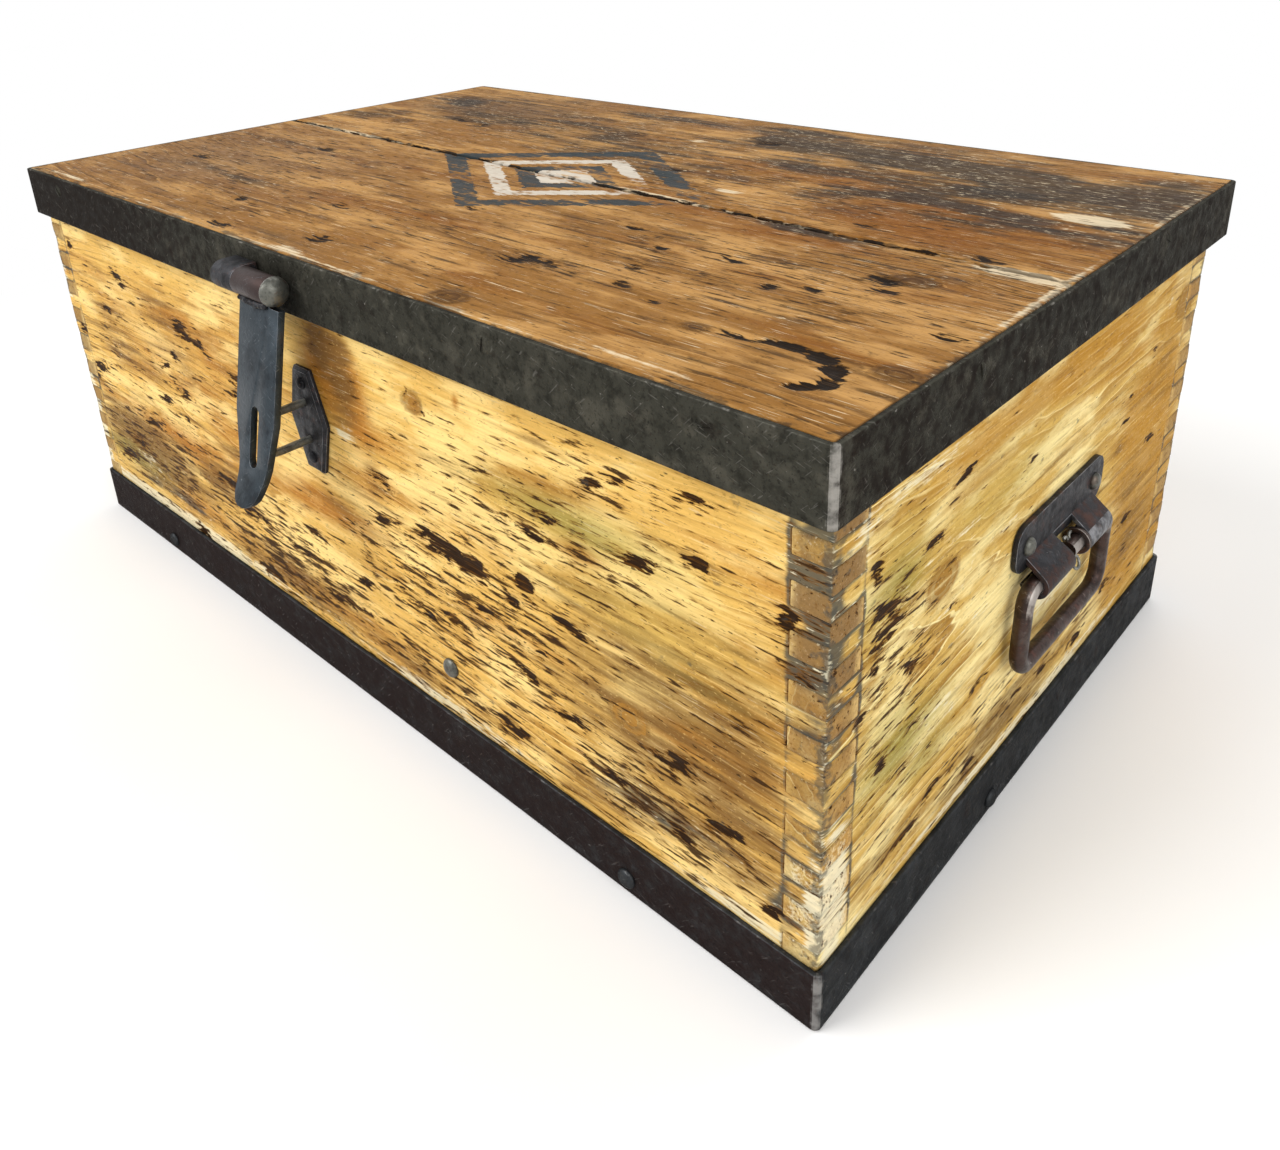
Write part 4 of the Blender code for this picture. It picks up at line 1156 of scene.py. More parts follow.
@dataclass
class Box:
    """The comb-jointed box: four walls and three bottom planks."""

    half_x: float = 0.3855
    half_y: float = 0.2245
    foot: float = 0.0223
    rim: float = 0.2967
    front_thickness: float = 0.025
    end_thickness: float = 0.020
    bottom_thickness: float = 0.022
    root_gap: float = 0.0003

    FRONT_MARKS = [
        (-272, 246, 12, 5, -12), (-172, 225, 11, 6, -20), (-152, 220, 15, 4, -12), (-195, 199, 5, 3.5, 0),
        (-212, 188, 9, 3, 25), (-101, 206, 8, 5, 0), (-104, 194, 5, 3, 0), (-190, 170, 15, 4, -8),
        (-228, 155, 14, 4, 5), (-195, 146, 5, 4, 0), (-352, 148, 17, 6, 25), (-310, 212, 11, 3, 5),
        (-370, 178, 8, 4, 10), (-358, 257, 6, 4, 0), (132, 160, 34, 5, 3), (68, 158, 12, 3, 8),
        (106, 256, 4, 1.4, 60), (119, 247, 6, 1.4, -20), (195, 166, 10, 3, 0), (226, 157, 21, 3, -4),
        (186, 152, 9, 3.5, -18), (207, 204, 18, 3.5, -5), (184, 206, 5, 2.5, 0), (252, 250, 10, 2.6, 6),
        (266, 257, 8, 2.2, 0), (279, 219, 10, 5, 10), (162, 134, 10, 3, 0), (205, 127, 4, 3, 0),
        (80, 111, 13, 3.2, -18), (102, 106, 9, 4, 0), (302, 110, 13, 6, 10), (305, 67, 8, 4.5, -10),
        (260, 74, 14, 3, 5), (225, 95, 13, 3, 0), (0, 70, 25, 4.5, 5), (-40, 90, 18, 3, 0),
        (-110, 95, 30, 4, 2), (-140, 110, 18, 6, 5), (-100, 48, 24, 5, 0), (-210, 41, 13, 5, 0),
        (365, 226, 5, 6, 30), (379, 242, 4, 6, 0), (372, 200, 6, 3.5, 10), (316, 264, 9, 3, 0),
        (316, 234, 8, 4, 0), (69, 186, 9, 4, -5), (216, 218, 8, 3.5, 0), (131, 113, 14, 3, -6),
        (-300, 92, 15, 5, 8), (362, 58, 10, 5, 20), (330, 88, 12, 3, 8), (170, 60, 22, 4, 4),
        (-260, 122, 18, 5, 6), (-20, 112, 14, 3, -8), (34, 98, 16, 3, 5), (190, 108, 14, 3.5, -10),
        (-330, 70, 20, 6, 10),
    ]
    FRONT_BURNS = [(153, 160, 13, 7, -14), (122, 166, 24, 3.6, -3), (196, 170, 9, 4, -8)]
    # Beside the hasp strap, just under the lid strip, (24, 262) and (40, 245) are partly a brown stain and
    # partly painted shadow of the strap
    FRONT_STAINS_AND_HASP_SHADOW = [
        (-240, 205, 150, 70, 0.5), (24, 262, 14, 20, 1.1), (-290, 92, 100, 34, 1.0),
        (-150, 105, 60, 20, 0.8), (-60, 62, 120, 20, 0.7), (120, 55, 160, 14, 0.6),
        (305, 132, 100, 66, 0.78), (340, 110, 50, 60, 0.8), (310, 72, 70, 28, 0.7),
        (372, 150, 16, 120, 0.6), (-375, 160, 12, 110, 0.5), (215, 150, 60, 40, 0.45),
        (40, 245, 16, 44, 0.95), (62, 195, 14, 30, 0.6), (30, 150, 40, 18, 0.6), (250, 60, 80, 20, 0.6),
        (300, 190, 60, 14, 0.45), (-120, 140, 250, 7, 0.45),
    ]
    # Beside the hasp strap, (26, 250) and (50, 236) are partly rust bleed and partly painted shadow of the
    # strap
    FRONT_AMBERS_AND_HASP_SHADOW = [
        (26, 250, 26, 34, 1.1), (50, 236, 18, 46, 0.9), (52, 185, 26, 44, 0.55), (5, 140, 70, 20, 0.7),
        (152, 264, 4, 6, 1.1), (114, 251, 6, 9, 0.9), (210, 238, 60, 8, 0.5), (-250, 128, 120, 12, 0.6),
        (330, 150, 50, 60, 0.6), (240, 207, 20, 7, 0.8), (-180, 60, 120, 20, 0.6),
        (-230, 205, 150, 60, 0.5),
    ]
    FRONT_DARKS = [
        (380, 250, 9, 36, 1.4), (380, 225, 7, 50, 1.1), (374, 205, 9, 14, 0.9), (303, 68, 16, 9, 0.7),
        (368, 60, 10, 12, 0.8), (381, 140, 5, 60, 0.7), (285, 70, 55, 12, 0.75), (-250, 60, 60, 10, 0.5),
        (-20, 45, 60, 8, 0.5), (260, 75, 30, 8, 0.5),
    ]
    FRONT_FLECKS = [
        (-260, 92, 120, 40, 0.9), (-70, 75, 120, 34, 1.1), (140, 125, 110, 55, 0.9),
        (210, 205, 110, 36, 0.6), (290, 78, 80, 34, 0.9), (265, 255, 60, 18, 0.6),
        (-240, 190, 120, 50, 0.3), (110, 60, 140, 24, 0.9), (370, 210, 20, 60, 0.7),
        (330, 130, 60, 60, 0.5),
    ]
    FRONT_PALES = [
        (35, 208, 14, 7, 0.7), (-383, 85, 8, 60, 1.2), (-383, 235, 5, 50, 0.7), (-250, 42, 170, 6, 1.15),
        (110, 42, 90, 5, 0.85), (345, 42, 45, 5, 0.9), (383, 66, 6, 38, 1.2), (-290, 78, 26, 8, 0.6),
    ]
    END_MARKS = [
        (-176, 214, 16, 6, -14), (-180, 203, 13, 5, 8), (-153, 169, 14, 4, -28), (-155, 108, 8, 3, 0),
        (-129, 101, 6, 2.4, 0), (-147, 129, 6, 3, 0), (-176, 127, 6, 4, 0), (-111, 182, 6, 2.2, 0),
        (-65, 199, 6, 1.2, 0), (-32, 229, 7, 1.2, 0), (114, 210, 5, 1.8, 0), (147, 230, 5, 1.2, 0),
        (108, 194, 6, 1.2, 0), (-72, 109, 10, 3, 6), (-113, 253, 9, 3, 14), (-76, 54, 12, 3.4, 6),
        (22, 60, 10, 3, 0), (70, 52, 10, 3.4, 0), (115, 70, 8, 3, 0), (-20, 66, 8, 2.6, 0),
        (43, 78, 9, 2.4, 0), (-190, 242, 5, 6, 0), (-186, 190, 6, 3, 0), (140, 110, 10, 3, 0),
        (165, 160, 8, 3, 0), (-196, 168, 7, 3, 10), (-120, 70, 10, 3.5, 8), (-150, 60, 12, 3, 0),
        (-140, 230, 8, 2.5, 0),
    ]
    END_AMBERS = [
        (150, 130, 60, 70, 0.9), (20, 262, 170, 13, 1.0), (110, 240, 100, 9, 1.0), (-80, 244, 70, 7, 0.8),
        (60, 215, 110, 6, 0.7), (200, 160, 20, 100, 0.7), (-127, 203, 12, 9, 0.9), (196, 246, 14, 14, 0.6),
    ]
    END_PALES = [
        (-214, 75, 11, 42, 1.2), (14, 128, 42, 20, 0.8), (-95, 160, 50, 28, 0.4), (-200, 268, 10, 8, 0.7),
        (-120, 120, 46, 16, 0.5), (0, 42, 190, 5, 0.85), (-108, 222, 22, 3, 0.7), (-60, 200, 40, 3, 0.5),
        (-160, 271, 66, 5, 0.65), (-204, 258, 14, 10, 0.6),
    ]

    def boards(self, along_x: bpy.types.Material, along_y: bpy.types.Material) -> list[Board]:
        """The four walls.

        Args:
            along_x: pine with its grain along the front.
            along_y: pine with its grain along the ends.

        Returns:
            The boards, not yet built.
        """
        long, short = (
            {
                "body": Body.BOX, "slot": Slot.BODY_PINE, "finish": finish, "along": (-half, half),
                "across": (self.foot, self.rim), "thickness": thick, "comb": comb,
                "root": half - other - self.root_gap,
            }
            for comb, finish, half, thick, other in (
                (0, along_x, self.half_x, self.front_thickness, self.end_thickness),
                (1, along_y, self.half_y, self.end_thickness, self.front_thickness),
            )
        )
        mirrored = [(-x, z, a, b, -t) for x, z, a, b, t in self.FRONT_MARKS[::2]]
        return [
            Board(
                "front_wall", ("front_board",), face=Face.FRONT, outer=-self.half_y, seed=3, pith=(62, 120),
                marks=self.FRONT_MARKS, burns=self.FRONT_BURNS, stains=self.FRONT_STAINS_AND_HASP_SHADOW,
                knots=[(270, 121, 9), (112, 251, 6)],
                greens=[(235, 222, 60, 12, 0.8), (-330, 75, 60, 20, 0.6), (285, 185, 70, 30, 0.35)],
                ambers=self.FRONT_AMBERS_AND_HASP_SHADOW, darks=self.FRONT_DARKS, flecks=self.FRONT_FLECKS,
                pales=self.FRONT_PALES, **long,
            ),
            Board(
                "back_wall", ("back_board",), face=Face.BACK, outer=self.half_y, seed=8, pith=(80, 190),
                marks=mirrored,
                stains=[(-180, 90, 140, 40, 0.7), (220, 70, 120, 25, 0.7), (20, 190, 60, 40, 0.4)],
                knots=[(-150, 190, 10), (205, 110, 7)], greens=[(-60, 220, 90, 18, 0.6)],
                ambers=[(60, 230, 90, 30, 0.7), (-300, 160, 60, 50, 0.6)], pales=[(0, 40, 300, 4, 0.7)],
                flecks=[(-160, 100, 140, 50, 0.8), (180, 150, 120, 60, 0.6)], **long,
            ),
            Board(
                "right_wall", ("right_end_board",), face=Face.RIGHT, outer=self.half_x, seed=5,
                pith=(46, 175), tilt=0.11, spacing=8.5, marks=self.END_MARKS,
                knots=[(-127, 203, 11), (196, 249, 12)], knot_halo=0.5,
                stains=[
                    (-40, 60, 150, 20, 0.7), (150, 115, 60, 60, 0.6), (60, 215, 120, 10, 0.4),
                    (170, 210, 40, 36, 0.5),
                ],
                ambers=[*self.END_AMBERS, (170, 150, 70, 130, 1.2)],
                flecks=[(-165, 175, 40, 60, 0.6), (-20, 68, 170, 24, 0.55), (60, 180, 200, 70, -0.3)],
                darks=[(-220, 236, 6, 46, 1.0), (-217, 180, 5, 26, 0.6), (-168, 212, 10, 12, 0.5)],
                greens=[
                    (-160, 132, 34, 32, 1.0), (-172, 226, 24, 20, 1.0), (-135, 100, 30, 18, 0.7),
                    (-65, 228, 44, 18, 0.6),
                ],
                pales=self.END_PALES, **short,
            ),
            Board(
                "left_wall", ("left_end_board",), face=Face.LEFT, outer=-self.half_x, seed=14, pith=(60, 140),
                tilt=-0.09, marks=[(-y, z, a, b, -t) for y, z, a, b, t in self.END_MARKS[1::2]],
                knots=[(120, 110, 11)], stains=[(60, 60, 140, 26, 0.7), (-150, 120, 60, 60, 0.6)],
                ambers=self.END_AMBERS[:3], flecks=[(20, 80, 160, 36, 0.7)],
                pales=[(8, 128, 42, 20, 0.7), (0, 40, 180, 4, 0.7)], **short,
            ),
        ]

    def build(
        self, along_x: bpy.types.Material, along_y: bpy.types.Material, bare: bpy.types.Material
    ) -> None:
        """Make the walls and the bottom.

        Args:
            along_x: pine with its grain along the front.
            along_y: pine with its grain along the ends.
            bare: unvarnished pine.
        """
        for board in self.boards(along_x, along_y):
            board.build()
        width = 2 * self.half_y / 3
        for i, place in enumerate(("front", "middle", "back")):
            low = -self.half_y + i * width
            Board(
                f"floor_{place}", (f"bottom_plank_{place}",), Body.BOX, Slot.BARE_PINE, bare, Face.TOP,
                (-self.half_x, self.half_x), (low, low + width), self.bottom_thickness, self.bottom_thickness,
                cell=0.007, seed=20 + i, pith=(55, (low + width / 2) / MM), dent=0.1,
            ).build()


@dataclass
class Lid:
    """The lid: two planks with a crooked seam and two battens under them."""

    half_x: float = 0.3867
    front: float = -0.2292
    seam_front: float = -0.0062
    seam_back: float = -0.0050
    back: float = 0.2502
    top: float = 0.319
    thickness: float = 0.022
    batten_x: float = 0.240
    batten_half: float = 0.0225
    batten_y: float = 0.1895
    batten_top: float = 0.2967
    batten_thickness: float = 0.020

    MARKS = [
        (-3, -201, 9, 6, 0), (136, -148, 20, 4, -8), (125, -156, 9, 4, 0), (268, -106, 7, 4, 0),
        (289, -95, 6, 4, 0), (226, -81, 9, 3.5, -10), (311, -62, 10, 6, 0), (318, -74, 7, 4, 0),
        (336, 2, 9, 4, 0), (300, -168, 16, 3, 8), (-139, -180, 6, 4, 0), (-235, -58, 12, 4, -8),
        (-300, -130, 12, 5, 0), (-87, -220, 14, 3, 0), (-110, -13, 10, 3, 0), (60, 60, 8, 3, 0),
        (-240, 95, 14, 5, 0), (140, -70, 8, 3, 0), (180, -90, 5, 3, 0), (250, 20, 8, 3, 0),
        (-205, 90, 9, 6, 0), (62, 175, 14, 8, 0), (190, -125, 6, 3, 0), (372, -112, 8, 3, 0),
        (205, -150, 7, 3, 0), (232, -158, 6, 2.5, 0), (-60, -150, 8, 3, 0), (20, -100, 7, 3, 0),
    ]
    BURNS = [
        (322, -164, 14, 4, 4), (340, -166, 11, 5.5, -18), (352, -174, 9, 6, -50), (357, -186, 8, 5.5, -80),
        (350, -196, 8, 4, 25),
    ]
    STAINS = [
        (120, -100, 170, 60, 0.38), (-250, 150, 150, 70, 0.8), (-60, 110, 120, 60, 0.7),
        (-300, -120, 110, 60, 0.4), (-120, -215, 140, 10, 0.6), (280, 60, 90, 24, 0.6),
        (100, 30, 120, 18, 0.4), (-350, 70, 60, 40, 0.7), (220, 130, 150, 30, 0.8),
    ]
    AMBERS = [
        (-90, -20, 200, 60, 0.4), (290, 50, 100, 56, 1.1), (180, 110, 70, 30, 0.9),
        (220, -22, 140, 16, 0.9), (150, -120, 160, 50, 0.4), (340, -60, 60, 40, 0.6),
        (-40, -60, 120, 20, 0.4),
    ]
    DARKS = [
        (150, 185, 120, 38, 1.1), (300, 165, 110, 40, 1.1), (368, 150, 32, 80, 1.0), (255, 88, 90, 12, 1.0),
        (230, -12, 120, 7, 0.8), (-40, 215, 160, 14, 0.7), (80, 130, 330, 120, 0.5),
        (320, -40, 110, 80, 0.32), (-260, 60, 150, 150, 0.3), (-300, -60, 70, 10, 0.65),
        (-200, 125, 80, 14, 0.75), (-330, 160, 50, 18, 0.8), (-180, -150, 90, 8, 0.55),
        (330, 70, 40, 9, 0.7), (55, 190, 20, 12, 1.1), (100, 228, 260, 14, 0.6), (-215, 95, 22, 8, 0.8),
    ]
    DUSTS = [
        (-280, -130, 130, 90, 0.9), (-260, 180, 150, 60, 0.7), (60, 228, 160, 26, 0.8),
        (0, -215, 60, 16, 0.4),
    ]
    FLECKS = [
        (250, -90, 110, 46, 0.6), (140, -150, 40, 14, 0.9), (-50, -150, 200, 60, 0.3),
        (200, 60, 150, 60, 0.6), (260, -15, 130, 14, 0.7), (-250, -100, 150, 90, 0.5),
        (-200, 150, 180, 70, 0.5),
    ]
    PALES = [
        (350, 107, 18, 7, 1.9), (364, -9, 22, 6, 1.9), (1, -222, 20, 4, 0.8), (276, -219, 44, 4, 0.62),
        (384, -31, 3, 80, 0.8), (130, 34, 14, 4, 0.9), (-330, -223, 60, 4, 0.7), (150, -190, 60, 2.5, 0.5),
        (10, 150, 9, 5, 0.7), (-215, 190, 12, 5, 0.5), (0, -227, 380, 2.5, 0.66), (100, -5, 60, 4, 1.0),
        (-310, -5, 80, 4, 1.0), (0, -5.5, 380, 3, 0.6), (385, 150, 3, 90, 0.6), (230, -180, 50, 2, 0.6),
        (-200, -190, 60, 3, 0.4),
    ]
    # Dark dashes along the seam: first, last and step, then half length, its swing and half height
    DASHES, DASH_SIZE = (-380, 330, 34), (22, 6, 2.6)
    KNOTS = [(146, -217, 9), (375, -161, 8), (274, -172, 5), (322, -53, 9), (-60, 140, 11), (-290, 60, 9)]

    def build(self, finish: bpy.types.Material, bare: bpy.types.Material) -> None:
        """Make the planks and battens.

        Args:
            finish: the lid's dark varnished pine.
            bare: unvarnished pine with its grain along Y.
        """
        seam = (self.seam_front + self.seam_back) / 2 / MM
        half, swing, tall = self.DASH_SIZE
        dashes = [(x, seam, half + swing * math.sin(x), tall, 0) for x in range(*self.DASHES)]
        common = {
            "body": Body.LID, "slot": Slot.LID_PINE, "finish": finish, "face": Face.TOP,
            "along": (-self.half_x, self.half_x), "outer": self.top, "thickness": self.thickness,
            "marks": self.MARKS + dashes, "burns": self.BURNS, "stains": self.STAINS, "pales": self.PALES,
            "knots": self.KNOTS, "ambers": self.AMBERS, "darks": self.DARKS, "greens": self.DUSTS,
            "flecks": self.FLECKS,
        }
        Board(
            "lid_plank_front", ("lid_front_plank",), across=(self.front, self.seam_front), seed=31,
            pith=(34, -185), seam=1.0, spacing=6.0, **common,
        ).build()
        Board(
            "lid_plank_back", ("lid_back_plank",), across=(self.seam_back, self.back), seed=37,
            pith=(75, 90), seam=-1.0, spacing=5.0, tilt=-0.03, **common,
        ).build()
        for name, side in (("left", -1), ("right", 1)):
            x = side * self.batten_x
            Board(
                f"lid_batten_{name}", (f"lid_{name}_batten",), Body.LID, Slot.BARE_PINE, bare, Face.UNDER,
                (-self.batten_y, self.batten_y), (x - self.batten_half, x + self.batten_half),
                self.batten_top - self.batten_thickness, self.batten_thickness, cell=0.006, seed=41 + side,
                pith=(40, x / MM), grain_up=True, dent=0.1,
            ).build()


@dataclass
class Strip:
    """A flat iron strip bent round a rectangle."""

    name: str
    node: str
    body: Body
    half_x: float
    front: float
    back: float
    foot: float
    width: float = 0.038
    thickness: float = 0.003
    bend: float = 0.0026
    inset: float = 0.00025
    seed: int = 4
    tarnish: tuple[float, float, float] = (0.4, 0.0, 0.7)

    CORNER_POINTS = 6
    LONG_CUTS = 110
    TALL_CUTS = 9
    EDGE = 0.7 * MM
    SWAY = 0.35 * MM
    SWAY_SCALE = 14.0
    RUBBED = 0.72
    # Least angle in degrees of an edge that is rounded, and how squarely a face looks to its side
    EDGE_TURN, FACING = 50, 0.7
    # Wear at a bend: how high it starts, how far it falls by one, and its most
    BEND_WEAR, BEND_FALL, BEND_MOST = 1.7, 4.2 * MM, 1.05
    # How fast the left half of a long side grows dark, in shares for a metre
    LEFT_RISE = 4

    def build(self, finish: bpy.types.Material) -> None:
        """Sweep the strip's section round its path.

        Args:
            finish: its iron.
        """
        grow = Growth(f"{self.name}_tree")
        add = grow.web.add
        middle = self.thickness / 2 + self.inset
        long = grow.size("Length", 2 * (self.half_x - middle))
        deep = grow.size("Depth", self.back - self.front - 2 * middle)
        radius = grow.size("Bend", self.bend)
        corner = grow.size("Corner points", self.CORNER_POINTS)
        cuts = grow.size("Long cuts", self.LONG_CUTS)
        tall = grow.size("Width", self.width - 4 * self.inset)
        thick = grow.size("Thickness", self.thickness)
        rows = grow.size("Tall cuts", self.TALL_CUTS)
        sway = grow.size("Sway", self.SWAY)
        path = add("GeometryNodeCurvePrimitiveQuadrilateral", {"Width": long, "Height": deep})
        feeds = {"Curve": path, "Count": corner, "Radius": radius, "Limit Radius": True}
        path = add("GeometryNodeFilletCurve", feeds, mode="POLY")
        index = add("GeometryNodeInputIndex")
        per = add("ShaderNodeMath", {0: corner, 1: 1.0}, operation="ADD")
        turn = add("ShaderNodeMath", {0: index, 1: per}, operation="MODULO")
        last = add("ShaderNodeMath", {0: turn, 1: corner, 2: 0.5}, operation="COMPARE")
        many = add("ShaderNodeMath", {0: last, 1: cuts}, operation="MULTIPLY")
        path = add("GeometryNodeSubdivideCurve", {"Curve": path, "Cuts": many})
        path = add("GeometryNodeSetCurveNormal", {"Curve": path}, mode="Z_UP")
        section = add("GeometryNodeCurvePrimitiveQuadrilateral", {"Width": thick, "Height": tall})
        odd = add("ShaderNodeMath", {0: index, 1: 2.0}, operation="MODULO")
        split = add("ShaderNodeMath", {0: odd, 1: rows}, operation="MULTIPLY")
        section = add("GeometryNodeSubdivideCurve", {"Curve": section, "Cuts": split})
        band = add("GeometryNodeCurveToMesh", {"Curve": path, "Profile Curve": section})
        band = grow.swayed(band, sway, self.seed, self.SWAY_SCALE)
        at = (0.0, (self.front + self.back) / 2, self.foot + self.width / 2)
        band = add("GeometryNodeTransform", {"Geometry": band, "Translation": at})
        piece = grow.run(self.name, bpy.data.meshes.new(self.name), band, finish)
        self.finish_edges(piece)
        seat(piece, self.body, Slot.STRIP_IRON, self.node)

    def finish_edges(self, piece: bpy.types.Object) -> None:
        """Round the strip's edges and wear its corners bright.

        Args:
            piece: the swept strip.
        """
        mesh = piece.data
        work = bmesh.new()
        work.from_mesh(mesh)
        bmesh.ops.remove_doubles(work, verts=work.verts, dist=WELD)
        bmesh.ops.recalc_face_normals(work, faces=work.faces)
        work.to_mesh(mesh)
        work.free()
        bevel_sharp(mesh, self.EDGE, turn=self.EDGE_TURN, worn=self.RUBBED)
        mesh.shade_smooth()

        def corner(at: np.ndarray, way: np.ndarray) -> np.ndarray:
            """Bright upright stripes at the bends.

            Args:
                at: middles of the faces.
                way: their normals; not used.

            Returns:
                How worn each face is.
            """
            across = np.minimum(np.abs(at[:, 1] - self.front), np.abs(at[:, 1] - self.back))
            away = np.maximum(self.half_x - np.abs(at[:, 0]), across)
            return np.clip(self.BEND_WEAR - away / self.BEND_FALL, 0, self.BEND_MOST)

        def tarnished(at: np.ndarray, way: np.ndarray) -> np.ndarray:
            """Dark skin on the ends, on the long sides, and more of it towards the left.

            Args:
                at: middles of the faces.
                way: their normals.

            Returns:
                How dark each face is.
            """
            ends, sides, left = self.tarnish
            end, long_side = (np.abs(way[:, i]) > self.FACING for i in (0, 1))
            return ends * end + (sides + left * np.clip(-self.LEFT_RISE * at[:, 0], 0, 1)) * long_side

        face_mask(mesh, "wear", corner)
        face_mask(mesh, "tarnish", tarnished)


@dataclass
class Heads:
    """Fastener heads of one kind on one body, set where the CAD has them."""

    name: str
    body: Body
    kind: HeadKind
    radius: float
    height: float
    seats: dict[str, Face]
    proud: float = 0.0
    seed: int = 2

    SIDES = 20
    RINGS = 10
    # A slotted head's crown and lift, and its slot's width, length and height, as shares of the head's sizes
    CROWN, LIFT = 0.35, 0.65
    SLOT_WIDTH, SLOT_LENGTH, SLOT_UP = 0.34, 3.0, 1.25
    # Most turn of a head about its axis, how worn heads are, and the least angle of a sharp edge in degrees
    MOST_TURN, WEAR, SHARP = 3.1, 0.35, 40

    def points(self) -> bpy.types.Mesh:
        """One point for each head, with the way it looks.

        Returns:
            A mesh of loose points.
        """
        places, ways = [], []
        for node, face in self.seats.items():
            axis, sign = face.value
            low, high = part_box(node)
            place = (low + high) / 2
            place[axis] = (high if sign > 0 else low)[axis] + sign * (self.proud - self.height)
            places.append(place)
            ways.append([sign if i == axis else 0 for i in range(3)])
        mesh = bpy.data.meshes.new(self.name)
        mesh.from_pydata(places, [], [])
        write_floats(mesh, "way", np.array(ways, float))
        return mesh

    def build(self, finish: bpy.types.Material) -> None:
        """Set a head on each point.

        Args:
            finish: their metal.
        """
        grow = Growth(f"{self.name}_tree")
        add = grow.web.add
        radius, height = grow.size("Radius", self.radius), grow.size("Height", self.height)
        sides, rings = grow.size("Sides", self.SIDES), grow.size("Rings", self.RINGS)
        draw = grow.size("Seed", self.seed)
        ball = add("GeometryNodeMeshUVSphere", {"Segments": sides, "Rings": rings, "Radius": 1.0})
        crown = 1.0 if self.kind is HeadKind.DOMED else self.CROWN
        tall = add("ShaderNodeMath", {0: height, 1: crown}, operation="MULTIPLY")
        sizes = add("ShaderNodeCombineXYZ", {0: radius, 1: radius, 2: tall})
        head = add("GeometryNodeTransform", {"Geometry": ball, "Scale": sizes})
        if self.kind is HeadKind.SLOTTED:
            lift = add("ShaderNodeMath", {0: height, 1: self.LIFT}, operation="MULTIPLY")
            up = add("ShaderNodeCombineXYZ", {2: lift})
            head = add("GeometryNodeTransform", {"Geometry": head, "Translation": up})
            wide = add("ShaderNodeMath", {0: radius, 1: self.SLOT_WIDTH}, operation="MULTIPLY")
            span = add("ShaderNodeMath", {0: radius, 1: self.SLOT_LENGTH}, operation="MULTIPLY")
            bar = add("ShaderNodeCombineXYZ", {0: span, 1: wide, 2: height})
            slot = add("GeometryNodeMeshCube", {"Size": bar})
            over = add("ShaderNodeMath", {0: height, 1: self.SLOT_UP}, operation="MULTIPLY")
            up = add("ShaderNodeCombineXYZ", {2: over})
            slot = add("GeometryNodeTransform", {"Geometry": slot.outputs["Mesh"], "Translation": up})
            head = add("GeometryNodeMeshBoolean", {0: head, 1: slot}, operation="DIFFERENCE", solver="EXACT")
        way = add("GeometryNodeInputNamedAttribute", {"Name": "way"}, data_type="FLOAT_VECTOR")
        facing = add("FunctionNodeAlignRotationToVector", {"Vector": way}, axis="Z")
        spin = add("FunctionNodeRandomValue", {"Max": self.MOST_TURN, "Seed": draw}, data_type="FLOAT")
        feeds = {"Axis": (0.0, 0.0, 1.0), "Angle": spin.outputs["Value"]}
        turn = add("FunctionNodeAxisAngleToRotation", feeds)
        feeds = {"Rotation": facing, "Rotate By": turn}
        both = add("FunctionNodeRotateRotation", feeds, rotation_space="LOCAL")
        feeds = {"Points": grow.entry.outputs[0], "Instance": head, "Rotation": both}
        spread = add("GeometryNodeInstanceOnPoints", feeds)
        piece = grow.run(self.name, self.points(), spread, finish)
        mesh = piece.data
        mesh.shade_smooth()
        mesh.set_sharp_from_angle(angle=math.radians(self.SHARP))
        write_floats(mesh, "wear", np.full(len(mesh.polygons), self.WEAR), "FACE")
        seat(piece, self.body, Slot.FASTENER_IRON, *self.seats)


@dataclass
class BentRod:
    """A round bar or wire along a path, a little uneven as if forged."""

    name: str
    path: list[tuple[float, float, float]]
    radius: float
    sides: int = 20
    sway: float = 0.25 * MM
    step: float = 2 * MM
    seed: int = 6

    # How fine the unevenness is, how worn the bar is, and the least angle of a sharp edge in degrees
    SWAY_SCALE, WEAR, SHARP = 120.0, 0.3, 50

    def build(self, finish: bpy.types.Material) -> bpy.types.Object:
        """Sweep a circle along the path.

        Args:
            finish: the bar's metal.

        Returns:
            A plain mesh object, not yet riding.
        """
        grow = Growth(f"{self.name}_tree")
        add = grow.web.add
        radius, sides = grow.size("Radius", self.radius - self.sway / 2), grow.size("Sides", self.sides)
        step, sway = grow.size("Step", self.step), grow.size("Sway", self.sway)
        line = add("GeometryNodeMeshToCurve", {"Mesh": grow.entry.outputs[0]})
        line = add("GeometryNodeResampleCurve", {"Curve": line, "Length": step}, mode="LENGTH")
        ring = add("GeometryNodeCurvePrimitiveCircle", {"Resolution": sides, "Radius": radius}, mode="RADIUS")
        bar = add("GeometryNodeCurveToMesh", {"Curve": line, "Profile Curve": ring, "Fill Caps": True})
        bar = grow.swayed(bar, sway, self.seed, self.SWAY_SCALE)
        seed = bpy.data.meshes.new(self.name)
        seed.from_pydata(self.path, [(i, i + 1) for i in range(len(self.path) - 1)], [])
        piece = grow.run(self.name, seed, bar, finish)
        mesh = piece.data
        mesh.shade_smooth()
        mesh.set_sharp_from_angle(angle=math.radians(self.SHARP))
        write_floats(mesh, "wear", np.full(len(mesh.polygons), self.WEAR), "FACE")
        return piece


